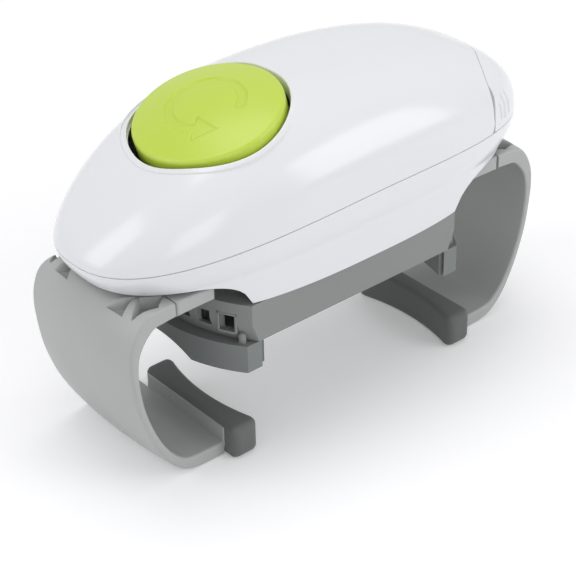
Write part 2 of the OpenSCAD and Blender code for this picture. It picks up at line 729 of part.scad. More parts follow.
grip_r = 132;                              // shallow curve of the jaw's gripping face
jaw_ball_r = 60;                           // curve of the jaw's outer face
jaw_end_x = 65;                            // outer face in the middle of the jaw
module jaw_plan(inner_x, outer_x) {
    intersection() {
        difference() {
            translate([outer_x - jaw_ball_r, 0]) circle(r = jaw_ball_r);
            translate([inner_x - grip_r, 0]) circle(r = grip_r, $fn = 128);
        }
        translate([0, -jaw_w / 2]) square([outer_x + overrun, jaw_w]);
    }
}

module right_jaw() {
    face_x = lid_d / 2 + jaw_rubber;
    translate([0, 0, seam_z]) {
        difference() {
            translate([0, 0, jaw_low_z]) linear_extrude(jaw_top_z - jaw_low_z) jaw_plan(face_x, jaw_end_x);
            // the outer face is cut away in an arch below
            translate([jaw_end_x + 4, 0, jaw_low_z - 18]) rotate([0, -90, 0]) cylinder(r = 24, h = 9.5, $fn = 96);
            rubber_key(face_x, 0);
            translate([jaw_stem_x, jaw_bar_y, jaw_top_z - jaw_pin_h - 0.2])
                cylinder(r = jaw_pin_r + fit_gap, h = jaw_pin_h + overrun);
        }
    }
}

// Toothed bar inside the turntable, its stem down through the cover and its pin in the jaw
module right_jaw_rack() {
    bar_w = jaw_rack_t - tooth_root * rack_module;
    translate([0, 0, seam_z]) {
        translate([jaw_stem_x - jaw_stem_w / 2, jaw_bar_y - bar_w / 2, jaw_top_z + 0.05])
            cube([jaw_stem_w, bar_w, jaw_rack_z - jaw_top_z + 1]);
        translate([jaw_stem_x, jaw_bar_y, jaw_top_z - jaw_pin_h]) cylinder(r = jaw_pin_r, h = jaw_pin_h + 1);
        translate([0, jaw_rack_y, jaw_rack_z]) linear_extrude(jaw_rack_h)
            rack_outline(rack_module, -jaw_out - 9, jaw_stem_x + jaw_stem_w / 2, jaw_rack_t);
    }
}

// Raised key on the back of the rubber, and the groove in the jaw that holds it
module rubber_key(face_x, gap) {
    depth = 1.2;
    translate([0, 0, jaw_low_z + 3 + gap]) linear_extrude(jaw_drop - 6 - 2 * gap) intersection() {
        difference() {
            translate([face_x + depth - gap - grip_r, 0]) circle(r = grip_r, $fn = 128);
            translate([face_x - depth - grip_r, 0]) circle(r = grip_r, $fn = 128);
        }
        translate([0, -jaw_w / 2 + 5 + gap]) square([2 * hx, jaw_w - 10 - 2 * gap]);
    }
}

module right_jaw_rubber() {
    face_x = lid_d / 2;
    back_x = face_x + jaw_rubber;
    translate([0, 0, seam_z]) {
        translate([0, 0, jaw_low_z + 0.8]) linear_extrude(jaw_drop - 1.6) intersection() {
            difference() {
                translate([back_x - fit_gap - grip_r, 0]) circle(r = grip_r, $fn = 128);
                translate([face_x - grip_r, 0]) circle(r = grip_r, $fn = 128);
            }
            translate([0, -jaw_w / 2 + 1]) square([2 * hx, jaw_w - 2]);
        }
        rubber_key(back_x, fit_gap);
    }
}

module lid_jaw_right() { color("#77797a") right_jaw(); }
module lid_jaw_left() { color("#77797a") rotate(180) right_jaw(); }
module jaw_rack_right() { color("#77797a") right_jaw_rack(); }
module jaw_rack_left() { color("#77797a") rotate(180) right_jaw_rack(); }
module lid_rubber_right() { color("#4c4e4f") right_jaw_rubber(); }
module lid_rubber_left() { color("#4c4e4f") rotate(180) right_jaw_rubber(); }

// ---- arms ------------------------------------------------------------------------

// Points of the outer face from the root round to the tip, with the wall at each
arm_knots = [
    [arm_reach - 30, tongue_top_z, 5.8], [arm_reach - 15, tongue_top_z - 0.1, 6.4],
    [arm_reach - 5.5, -20.9, 7.6], [arm_reach - 0.9, -28, 6.2], [arm_reach, -36, 4.4],
    [arm_reach - 2.2, -arm_drop * 0.57, arm_wall], [arm_reach - 5, -arm_drop * 0.69, arm_wall],
    [arm_reach - 8.4, -arm_drop * 0.803, arm_wall], [arm_reach - 13.9, -arm_drop * 0.922, arm_wall + 0.4],
    [arm_reach - 20.5, -arm_drop * 0.983, arm_wall + 0.8], [arm_reach - 29, -arm_drop, arm_wall + 1.1],
    [arm_reach - 35.5, -arm_drop * 0.978, arm_wall + 1.1], [arm_reach - 41.3, -arm_drop * 0.927, arm_wall + 0.8]];
function spline(a, b, c, d, u) = 0.5 * (2 * b + (c - a) * u + (2 * a - 5 * b + 4 * c - d) * u * u
    + (3 * b - a - 3 * c + d) * u * u * u);
function knot(i) = arm_knots[max(0, min(len(arm_knots) - 1, i))];
knot_steps = 4;
arm_line = [for (i = [0:len(arm_knots) - 2], k = [0:knot_steps - 1])
    spline(knot(i - 1), knot(i), knot(i + 1), knot(i + 2), k / knot_steps), knot(len(arm_knots) - 1)];
function line_at(i) = arm_line[max(0, min(len(arm_line) - 1, i))];
function inward(i) = let (d = line_at(i + 1) - line_at(i - 1), l = norm([d.x, d.y])) [d.y / l, -d.x / l];
module arm_section() {
    last = len(arm_line) - 1;
    polygon(concat([for (i = [0:last]) [line_at(i).x, line_at(i).y]],
        [for (i = [last:-1:0]) [line_at(i).x, line_at(i).y] + line_at(i).z * inward(i)]));
}

arm_out = 4;                               // travel of an arm away from the axis
arm_root_x = arm_reach - 38;               // where the full-width tongue ends
pad_back_x = arm_reach - pad_inset;
rack_back = 9.2;                           // from the pitch line to the bar's back
shoulder_r = 16;                           // rounding of the arm's upper corners
module right_arm() {
    half = arm_w / 2;
    translate([0, 0, seam_z]) {
        difference() {
            union() {
                intersection() {
                    rotate([90, 0, 0]) linear_extrude(arm_w, center = true) arm_section();
                    union() {
                        translate([arm_root_x - overrun, -half, -arm_drop - overrun])
                            cube([60, arm_w, arm_drop + tongue_low_z - shoulder_r + overrun]);
                        translate([arm_root_x - overrun, -half + shoulder_r, -arm_drop])
                            cube([60, arm_w - 2 * shoulder_r, arm_drop]);
                        for (y = [-1, 1]) translate([arm_root_x - overrun, y * (half - shoulder_r), tongue_low_z - shoulder_r])
                            rotate([0, 90, 0]) cylinder(r = shoulder_r, h = 60);
                        translate([arm_root_x - overrun, -half, tongue_low_z - 2])
                            cube([18, arm_w, tongue_h + 3]);
                    }
                }
                translate([arm_root_x, -half, tongue_low_z]) cube([arm_reach - 29 - arm_root_x, arm_w, tongue_h]);
            }
            // flat that the opener stands on
            translate([arm_root_x, -arm_w, -arm_drop - overrun]) cube([arm_reach, 2 * arm_w, overrun + foot_flat]);
            // slot that lets the other arm's rack pass
            translate([arm_root_x - overrun, -arm_pinion_r - rack_back - slide_gap, tongue_low_z - overrun])
                cube([16, rack_back + tooth_tip * rack_module + 2 * slide_gap, tongue_h + 2 * overrun]);
        }
        translate([0, arm_pinion_r, tongue_low_z]) linear_extrude(tongue_h)
            rack_outline(rack_module, -arm_out - 10, arm_root_x + 2, rack_back);
        // flange behind the rubber pad
        rotate([90, 0, 0]) linear_extrude(arm_w - 1, center = true) polygon([
            [pad_back_x, -arm_drop * 0.945], [pad_back_x, -arm_drop * 0.83],
            [pad_back_x + 2.2, -arm_drop * 0.83], [pad_back_x + 4.6, -arm_drop * 0.90],
            [pad_back_x + 8, -arm_drop * 0.955], [pad_back_x + 5, -arm_drop * 0.985]]);
    }
}

pad_low_z = -arm_drop + 0.9;
module right_pad() {
    corner = 3.6;
    depth = pad_t;
    front_x = pad_back_x - 0.1 - depth;
    bow_r = pad_back_x + 23.4;
    translate([0, 0, seam_z + pad_low_z]) difference() {
        linear_extrude(pad_h) difference() {
            hull() for (x = [front_x + corner, front_x + depth - 1.2], y = [-1, 1])
                translate([x, y * (pad_len / 2 - corner)]) circle(r = x < front_x + depth / 2 ? corner : 1.2);
            translate([front_x + 3.4 - bow_r, 0]) circle(r = bow_r, $fn = 128);
        }
        translate([front_x + depth - 2.5, -arm_w / 2 - 0.5, 2.2]) cube([8, arm_w + 1, pad_h - 6]);
    }
}

module arm_right() { color("#969a98") right_arm(); }
module arm_left() { color("#969a98") rotate(180) right_arm(); }
module arm_pad_right() { color("#5a5c5b") right_pad(); }
module arm_pad_left() { color("#5a5c5b") rotate(180) right_pad(); }

// ---- cells ---------------------------------------------------------------------

cell_y = cell_d / 2 + 1.1;
cell_x = motor_at.x + motor_d / 2 + 6.4;   // the cells lie behind the motor
cell_z = 3.5;
cell_tip = 1.2;
module battery_tray() {
    tray_low = floor_top_z;
    tray_half = cell_d + 2.6;
    tray_x = cell_x - 3.4;
    color("#c9ccd0") translate([0, 0, seam_z]) difference() {
        union() {
            translate([tray_x, -tray_half, cell_z - cell_d / 2 - 2])
                cube([contact_x - 0.6 - tray_x, 2 * tray_half, cell_d / 2]);
            translate([tray_x, -tray_half, tray_low]) cube([1.6, 2 * tray_half, cell_z + 4 - tray_low]);
            for (x = [tray_x + 12, tray_x + 40]) translate([x, -tray_half + 3, tray_low])
                cube([1.6, 2 * tray_half - 6, cell_z - tray_low - 4]);
        }
        for (y = [-1, 1]) translate([cell_x - 1.8, y * cell_y, cell_z]) rotate([0, 90, 0])
            cylinder(r = cell_d / 2 + slide_gap, h = cell_len + 10);
    }
}

module cell(side) {
    color("#3f6f8f") translate([cell_x, side * cell_y, seam_z + cell_z]) rotate([0, 90, 0]) {
        flip = side < 0;
        cylinder(r = cell_d / 2, h = cell_len - cell_tip - 0.3);
        translate([0, 0, flip ? -cell_tip : cell_len - cell_tip - 0.5]) cylinder(r = 2.7, h = cell_tip + 0.5);
    }
}
module battery_a() { cell(1); }
module battery_b() { cell(-1); }

contact_t = 0.5;
contact_half = 3.4;
contact_x = cell_x + cell_len + 0.3;       // plate in the door that bridges the cells
module door_contact() {
    color("#b9bcc0") translate([contact_x, -cell_y - contact_half, seam_z + cell_z - contact_half])
        cube([contact_t, 2 * (cell_y + contact_half), 2 * contact_half]);
}

module cell_contacts() {
    color("#b9bcc0") for (y = [-1, 1])
        translate([cell_x - 1.75, y * cell_y - contact_half, seam_z + cell_z - contact_half])
            cube([contact_t, 2 * contact_half, 2 * contact_half]);
}

upper_shell();
lower_shell();
battery_door();
start_button();
button_spring();
switch_body();
switch_plunger();
control_board();
board_frame();
gear_plate();
plate_screws();
motor();
motor_pinion();
first_gear();
second_gear();
output_gear();
gear_axles();
spindle_bush();
spindle();
spindle_clip();
thrust_washer();
arm_pinion();
guide_plate();
guide_screws();
turntable();
table_cover();
cover_screws();
jaw_pinion();
lid_jaw_left();
lid_jaw_right();
jaw_rack_left();
jaw_rack_right();
lid_rubber_left();
lid_rubber_right();
arm_left();
arm_right();
arm_pad_left();
arm_pad_right();
battery_tray();
battery_a();
battery_b();
cell_contacts();
door_contact();
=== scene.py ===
"""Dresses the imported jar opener: smooth shells, engraved button, rounded mouldings, materials, camera and stage."""

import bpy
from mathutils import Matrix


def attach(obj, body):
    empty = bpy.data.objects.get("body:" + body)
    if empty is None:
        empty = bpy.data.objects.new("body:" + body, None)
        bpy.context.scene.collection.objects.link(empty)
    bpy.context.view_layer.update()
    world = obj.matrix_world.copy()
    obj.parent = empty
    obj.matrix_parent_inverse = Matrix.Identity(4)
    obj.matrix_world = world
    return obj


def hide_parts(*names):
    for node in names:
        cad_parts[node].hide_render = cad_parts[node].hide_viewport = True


bl_info = {
    "name": "Jar opener dressing",
    "version": (1, 0, 0),
    "blender": (4, 5, 0),
    "location": "3D View > Sidebar > Jar opener",
    "description": "Builds the visible pieces of a battery jar opener over its CAD frame",
    "category": "Object",
}

import math

import bmesh
import bpy
from bpy.props import FloatProperty, FloatVectorProperty, IntProperty, PointerProperty
from mathutils import Matrix, Vector

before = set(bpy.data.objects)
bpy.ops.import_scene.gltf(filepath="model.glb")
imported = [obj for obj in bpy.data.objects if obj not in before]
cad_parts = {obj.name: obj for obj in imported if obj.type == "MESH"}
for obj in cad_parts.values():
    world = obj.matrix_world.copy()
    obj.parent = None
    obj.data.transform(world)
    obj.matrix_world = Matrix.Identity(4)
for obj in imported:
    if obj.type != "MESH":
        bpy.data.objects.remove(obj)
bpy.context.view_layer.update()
MM = 0.001


def linear(code):
    """An sRGB hex code as linear red, green and blue."""
    channels = [int(code[i:i + 2], 16) / 255 for i in (0, 2, 4)]
    return tuple(c / 12.92 if c <= 0.04045 else ((c + 0.055) / 1.055) ** 2.4 for c in channels)


# ---- sizes and colours that a user would change -----------------------------


class HousingSizes(bpy.types.PropertyGroup):
    """Form of the white housing, in its CAD source's numbers, but with the photograph's deeper band."""

    seam_z: FloatProperty(name="Parting line", description="Height of the parting line",
                          default=0.0932, unit="LENGTH")
    length: FloatProperty(name="Length", description="Length of the housing", default=0.2, unit="LENGTH")
    width: FloatProperty(name="Width", description="Width at the parting line", default=0.0898, unit="LENGTH")
    dome: FloatProperty(name="Dome height", description="Crown above the parting line",
                        default=0.0366, unit="LENGTH")
    shift: FloatProperty(name="Crown shift", description="Crown towards the button",
                         default=0.0236, unit="LENGTH")
    wall: FloatProperty(name="Wall", description="Wall of the shells", default=0.0024, unit="LENGTH")
    skirt: FloatProperty(name="Skirt", description="Depth of the skirt's edge", default=0.0293, unit="LENGTH")
    band: FloatProperty(name="Band", description="Depth of the band at the ends",
                        default=0.0168, unit="LENGTH")
    edge: FloatProperty(name="Edge", description="Rounding of the shells' edges",
                        default=0.0003, unit="LENGTH")
    joint: FloatProperty(name="Joint", description="Open line between the two shells",
                         default=0.0004, unit="LENGTH")
    door_gap: FloatProperty(name="Door gap", description="Gap round the battery door",
                            default=0.0004, unit="LENGTH")
    finger_gap: FloatProperty(name="Finger gap", description="Widest gap where a nail lifts the door",
                              default=0.0013,
                              unit="LENGTH")
    around: IntProperty(name="Points around", description="Points round the shells", default=288, min=96)


class ButtonSizes(bpy.types.PropertyGroup):
    """Form of the start button and its engraved turning arrow."""

    diameter: FloatProperty(name="Diameter", description="Diameter of the cap", default=0.0564, unit="LENGTH")
    offset: FloatProperty(name="Offset", description="Distance from the turning axis",
                          default=0.038, unit="LENGTH")
    height: FloatProperty(name="Height", description="Rim above the parting line",
                          default=0.0284, unit="LENGTH")
    slope: FloatProperty(name="Slope", description="Tilt of the cap",
                         default=math.radians(15.5), unit="ROTATION")
    gap: FloatProperty(name="Gap", description="Gap between cap and hole", default=0.0011, unit="LENGTH")
    groove: FloatProperty(name="Groove width", description="Width of the engraving",
                          default=0.0034, unit="LENGTH")
    depth: FloatProperty(name="Groove depth", description="Depth of the engraving",
                         default=0.0007, unit="LENGTH")


class Colours(bpy.types.PropertyGroup):
    """Colours of the outer mouldings."""

    housing: FloatVectorProperty(name="Housing", description="White ABS", subtype="COLOR",
                                 default=linear("ECEDF1"))
    button: FloatVectorProperty(name="Button", description="Lime ABS", subtype="COLOR",
                                default=linear("C6DE4C"))
    arms: FloatVectorProperty(name="Arms", description="Grey nylon", subtype="COLOR",
                              default=linear("B1B4B2"))
    table: FloatVectorProperty(name="Turntable", description="Grey ABS", subtype="COLOR",
                               default=linear("8A8E8C"))
    jaws: FloatVectorProperty(name="Jaws", description="Grey nylon", subtype="COLOR",
                              default=linear("7E8281"))
    rubber: FloatVectorProperty(name="Rubber", description="Grey rubber", subtype="COLOR",
                                default=linear("6A6D6C"))


# ---- materials ----------------------------------------------------------------


def add(tree, kind, settings=None, links=None):
    """Adds a node to a tree with its settings and the links into it."""
    node = tree.nodes.new(kind)
    for key, value in (settings or {}).items():
        if isinstance(key, int) or key in node.inputs:
            node.inputs[key].default_value = value
        else:
            setattr(node, key, value)
    for key, source in (links or {}).items():
        tree.links.new(source, node.inputs[key])
    return node


def moulded(name, colour, roughness, grain_mm, grain_depth_mm, drift=0.04, sockets=None):
    """A moulded plastic or rubber: fine tool grain, and a slow drift of colour and gloss from the melt's flow."""
    if name in bpy.data.materials:
        return bpy.data.materials[name]
    material = bpy.data.materials.new(name)
    material.use_nodes = True
    tree = material.node_tree
    tree.nodes.clear()
    place = add(tree, "ShaderNodeTexCoord")
    grain = add(tree, "ShaderNodeTexNoise", {"Scale": 1 / (grain_mm * MM), "Detail": 3.0, "Roughness": 0.6},
                {"Vector": place.outputs["Object"]})
    flow = add(tree, "ShaderNodeTexNoise", {"Scale": 1 / (35 * MM), "Detail": 2.0},
               {"Vector": place.outputs["Object"]})
    shade = add(tree, "ShaderNodeMix", {"data_type": "RGBA", 6: (*colour, 1),
                                        7: (*[c * (1 - 2 * drift) for c in colour], 1)},
                {0: flow.outputs["Fac"]})
    gloss = add(tree, "ShaderNodeMapRange", {"From Min": 0.3, "From Max": 0.7, "To Min": roughness * 0.88,
                                             "To Max": roughness * 1.14}, {"Value": flow.outputs["Fac"]})
    bump = add(tree, "ShaderNodeBump", {"Strength": 0.5, "Distance": grain_depth_mm * MM},
               {"Height": grain.outputs["Fac"]})
    shader = add(tree, "ShaderNodeBsdfPrincipled", {"IOR": 1.53, **(sockets or {})},
                 {"Base Color": shade.outputs[2], "Roughness": gloss.outputs["Result"],
                  "Normal": bump.outputs["Normal"]})
    add(tree, "ShaderNodeOutputMaterial", links={"Surface": shader.outputs["BSDF"]})
    return material


def drawn_metal(name, colour, roughness, line_mm, axis=2):
    """A drawn or turned metal: fine lines along one axis, which stretch its highlights."""
    if name in bpy.data.materials:
        return bpy.data.materials[name]
    material = bpy.data.materials.new(name)
    material.use_nodes = True
    tree = material.node_tree
    tree.nodes.clear()
    place = add(tree, "ShaderNodeTexCoord")
    stretch = [1.0, 1.0, 1.0]
    stretch[axis] = 0.04
    spread = add(tree, "ShaderNodeMapping", {"Scale": stretch}, {"Vector": place.outputs["Object"]})
    lines = add(tree, "ShaderNodeTexNoise", {"Scale": 1 / (line_mm * MM), "Detail": 3.0},
                {"Vector": spread.outputs["Vector"]})
    gloss = add(tree, "ShaderNodeMapRange", {"To Min": roughness * 0.75, "To Max": roughness * 1.35},
                {"Value": lines.outputs["Fac"]})
    bump = add(tree, "ShaderNodeBump", {"Strength": 0.4, "Distance": 0.02 * MM}, {"Height": lines.outputs["Fac"]})
    shader = add(tree, "ShaderNodeBsdfPrincipled", {"Metallic": 1.0, "Base Color": (*colour, 1)},
                 {"Roughness": gloss.outputs["Result"], "Normal": bump.outputs["Normal"]})
    add(tree, "ShaderNodeOutputMaterial", links={"Surface": shader.outputs["BSDF"]})
    return material


def white_abs(scene):
    # Polished steel tool: near-mirror gloss, softened by a faint orange peel about 1.5 mm across
    return moulded("ABS_moulded_gloss_white", scene.opener_colours.housing, 0.2, 1.5, 0.004, 0.008,
                   {"Coat Weight": 0.25, "Coat Roughness": 0.12})


def lime_abs(scene):
    # Light spark finish: bright but soft highlights; grain 0.4 mm
    return moulded("ABS_moulded_satin_lime", scene.opener_colours.button, 0.3, 0.4, 0.01, 0.02)


def arm_nylon(scene):
    # Spark-eroded tool: an even satin with grain 0.35 mm, drawn at 0.5 mm so that it shows
    return moulded("Nylon_moulded_satin_grey", scene.opener_colours.arms, 0.42, 0.5, 0.02, 0.025)


def table_abs(scene):
    # The same spark finish on ABS, a little duller than the arms
    return moulded("ABS_moulded_satin_grey", scene.opener_colours.table, 0.45, 0.5, 0.02, 0.03)


def jaw_nylon(scene):
    # Glass-filled nylon: drier surface with a coarser grain
    return moulded("Nylon_moulded_matt_grey", scene.opener_colours.jaws, 0.5, 0.6, 0.03, 0.04)


def grip_rubber(scene):
    # Soft rubber from a blasted tool: matt, with a little sheen at grazing angles; grain 0.7 mm
    return moulded("Rubber_moulded_matt_grey", scene.opener_colours.rubber, 0.68, 0.7, 0.04, 0.05,
                   {"Sheen Weight": 0.15, "Sheen Roughness": 0.5, "Specular IOR Level": 0.35})


# ---- making pieces --------------------------------------------------------------


def to_row(bm, sizes):
    """From millimetres measured at the parting line to metres in the row frame."""
    bmesh.ops.scale(bm, vec=(MM, MM, MM), verts=bm.verts)
    bmesh.ops.translate(bm, vec=(0, 0, sizes.seam_z), verts=bm.verts)


def finished(name, bm, material, body, nodes=(), sharp=32):
    """Links a bmesh as a smooth-shaded piece with crisp edges that rides on a body and stands for CAD nodes."""
    for face in bm.faces:
        face.smooth = True
    for edge in bm.edges:
        edge.smooth = len(edge.link_faces) != 2 or edge.calc_face_angle(0) < math.radians(sharp)
    mesh = bpy.data.meshes.new(name)
    bm.to_mesh(mesh)
    bm.free()
    mesh.materials.append(material)
    piece = bpy.data.objects.new(name, mesh)
    bpy.context.scene.collection.objects.link(piece)
    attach(piece, body)
    if nodes:
        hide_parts(*nodes)
    return piece


def thicken(piece, wall, edge):
    """Gives a skin its wall, inwards, and rounds the wall's edges."""
    solid = piece.modifiers.new("Wall", "SOLIDIFY")
    solid.thickness = wall
    solid.offset = -1
    round_edges(piece, edge)


def round_edges(piece, edge, segments=3, angle=42):
    """Rounds a piece's edges and keeps its flat faces flat in the shading."""
    bevel = piece.modifiers.new("Edges", "BEVEL")
    bevel.width = edge
    bevel.segments = segments
    bevel.limit_method = "ANGLE"
    bevel.angle_limit = math.radians(angle)
    bevel.harden_normals = False
    normals = piece.modifiers.new("Normals", "WEIGHTED_NORMAL")
    normals.keep_sharp = True


def softened(node, name, material, body, width, pick=None, segments=3, trim=None):
    """A merged copy of a CAD node, trimmed if asked, whose convex edges are rounded where pick says so."""
    bm = bmesh.new()
    bm.from_mesh(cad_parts[node].data)
    bmesh.ops.remove_doubles(bm, verts=bm.verts, dist=2e-6)
    if trim:
        trim(bm)
    bmesh.ops.dissolve_limit(bm, angle_limit=math.radians(0.6), verts=bm.verts, edges=bm.edges)
    chosen = [e for e in bm.edges if len(e.link_faces) == 2 and e.is_convex
              and e.calc_face_angle(0) > math.radians(38)
              and (pick is None or pick((e.verts[0].co + e.verts[1].co) / 2 / MM))]
    bmesh.ops.bevel(bm, geom=chosen, offset=width * MM, offset_type="OFFSET", segments=segments, profile=0.5,
                    affect="EDGES", clamp_overlap=True, material=-1)
    piece = finished(name, bm, material, body, [node])
    normals = piece.modifiers.new("Normals", "WEIGHTED_NORMAL")
    normals.keep_sharp = True
    return piece


def skin(columns, rows, closed, point):
    """A grid bent by point(share along, share across); closed joins its two side edges."""
    bm = bmesh.new()
    bmesh.ops.create_grid(bm, x_segments=columns, y_segments=rows, size=0.5)
    for vert in bm.verts:
        vert.co = point(vert.co.x + 0.5, vert.co.y + 0.5)
    if closed:
        bmesh.ops.remove_doubles(bm, verts=bm.verts, dist=1e-4)
    bmesh.ops.recalc_face_normals(bm, faces=bm.faces)
    return bm


def rounded_block(bm, size, centre, edge):
    """Adds a block with rounded edges to a bmesh."""
    block = bmesh.ops.create_cube(bm, size=1, matrix=Matrix.Translation(centre) @ Matrix.Diagonal((*size, 1)))
    edges = {e for v in block["verts"] for e in v.link_edges}
    bmesh.ops.bevel(bm, geom=list(edges), offset=edge, offset_type="OFFSET", segments=3, profile=0.5,
                    affect="EDGES", clamp_overlap=True, material=-1)


def ease(share):
    """A share from 0 to 1 that starts and ends softly."""
    share = min(1.0, max(0.0, share))
    return share * share * (3 - 2 * share)


def inside(corners, x, y):
    """Distance in from the nearest side of a convex outline, whose corners go anticlockwise from above."""
    depth = []
    for (ax, ay), (bx, by) in zip(corners, corners[1:] + corners[:1]):
        depth.append(((bx - ax) * (y - ay) - (by - ay) * (x - ax)) / math.hypot(bx - ax, by - ay))
    return min(depth)


def crossing(test, low, high):
    """Where test turns from true to false between low and high."""
    for _ in range(30):
        middle = (low + high) / 2
        low, high = (middle, high) if test(middle) else (low, middle)
    return (low + high) / 2


# ---- form of the housing ----------------------------------------------------------


class HousingForm:
    """The housing's surface in millimetres from the parting line. The door's edge is fuller than the CAD's arc."""

    nose_power, tail_power = 2.45, 2.92
    nose_profile, tail_profile, side_profile = 1.49, 2.55, 2.37
    dip, tilt, lift = 5.8, 2.5, 1.7
    band_share = 0.45
    end_run, skirt_half = 22.0, 50.3
    # the battery door's edge in plan: how far along it lies at a distance from the middle
    door_line = [(0, 84.0), (6, 83.6), (11, 82.4), (15, 80.5), (18.6, 77.6), (21.6, 75.5), (25, 73.3), (28.6, 71.2),
                 (31.6, 69.7), (35, 68.8), (38, 68.2), (46, 68.2)]
    # the finger gap starts and ends at these distances from the middle
    finger_from, finger_to = 33.4, 38.9

    def __init__(self, sizes, button):
        self.hx = sizes.length / MM / 2
        self.hy = sizes.width / MM / 2
        self.dome, self.shift = sizes.dome / MM, sizes.shift / MM
        self.skirt, self.band = sizes.skirt / MM, sizes.band / MM
        self.joint, self.gap, self.finger = sizes.joint / MM, sizes.door_gap / MM, sizes.finger_gap / MM
        self.hole = (button.diameter / 2 + button.gap) / MM
        self.hole_x = -button.offset / MM

    def plan(self, turn, inset_x=0.0, inset_y=0.0):
        c, s = math.cos(turn), math.sin(turn)
        power = 2 / (self.nose_power if c < 0 else self.tail_power)
        return ((self.hx - inset_x) * math.copysign(abs(c) ** power, c),
                (self.hy - inset_y) * math.copysign(abs(s) ** power, s))

    def seam(self, x):
        u = x / self.hx
        return self.tilt * u - self.dip * u * u * (1 + self.lift / 5) + self.lift * u ** 4

    def on_dome(self, turn, lift, inset=0.0):
        c, s = math.cos(turn), math.sin(turn)
        power = 2 / ((self.nose_profile if c < 0 else self.tail_profile) * c * c + self.side_profile * s * s)
        reach, rise = math.cos(lift) ** power, max(math.sin(lift), 1e-12) ** power
        x, y = self.plan(turn, inset, inset)
        return Vector((x * reach - self.shift * (1 - reach), y * reach,
                       (self.dome - inset) * rise + self.seam(x) * reach))

    def on_skirt(self, turn, share, inset=0.0):
        if share < self.band_share:
            part = share / self.band_share
            side, end = 2.6 * part ** 2, 5.5 * part ** 1.6
        else:
            part = (share - self.band_share) / (1 - self.band_share)
            side, end = 2.6 + 1.6 * part, 5.5 + 8 * part
        x, y = self.plan(turn, end + inset, side + inset)
        return Vector((x, y, self.seam(x) * (1 - share) - self.skirt * share))

    def door_edge(self, y):
        line = self.door_line
        y = abs(y)
        for (y0, x0), (y1, x1) in zip(line, line[1:]):
            if y <= y1:
                return x0 + (x1 - x0) * (y - y0) / (y1 - y0)
        return line[-1][1]

    def door_room(self, y):
        """Gap between the shell and the door, wider where a finger nail goes in."""
        share = (abs(y) - self.finger_from) / (self.finger_to - self.finger_from)
        return self.gap + (self.finger * math.sin(math.pi * share) if 0 < share < 1 else 0.0)

    def joint_lift(self, turn):
        """Lift at which the dome stands clear of the lower shell."""
        seam = self.seam(self.plan(turn)[0])
        return crossing(lambda lift: self.on_dome(turn, lift).z < seam + self.joint, 0.0, math.radians(20))

    def door_lift(self, turn, share):
        """Lift at which the dome's line at this turn leaves the door, or 0 where it never enters it."""
        def inside(lift):
            p = self.on_dome(turn, lift)
            return p.x > self.door_edge(p.y) + share * self.door_room(p.y)
        return crossing(inside, 0.0, math.radians(89)) if inside(1e-4) else 0.0

    def hole_lift(self, turn):
        """Lift at which the dome's line at this turn meets the button's hole."""
        def outside(lift):
            p = self.on_dome(turn, lift)
            return math.hypot(p.x - self.hole_x, p.y) > self.hole
        return crossing(outside, 0.0, math.radians(89.9))

    def end_cut(self, x):
        """Height of the lower shell's cut edge: flat under the turntable, then a quarter round up to the band."""
        out = (abs(x) - self.skirt_half) / self.end_run
        if out <= 0:
            return -self.skirt
        if out >= 1:
            return -self.band
        return -self.skirt + (self.skirt - self.band) * math.sqrt(1 - (1 - out) ** 2)

    def cut_share(self, turn):
        def above(share):
            p = self.on_skirt(turn, share)
            return p.z > self.end_cut(p.x)
        return crossing(above, 0.0, 1.0) if not above(1.0) else 1.0


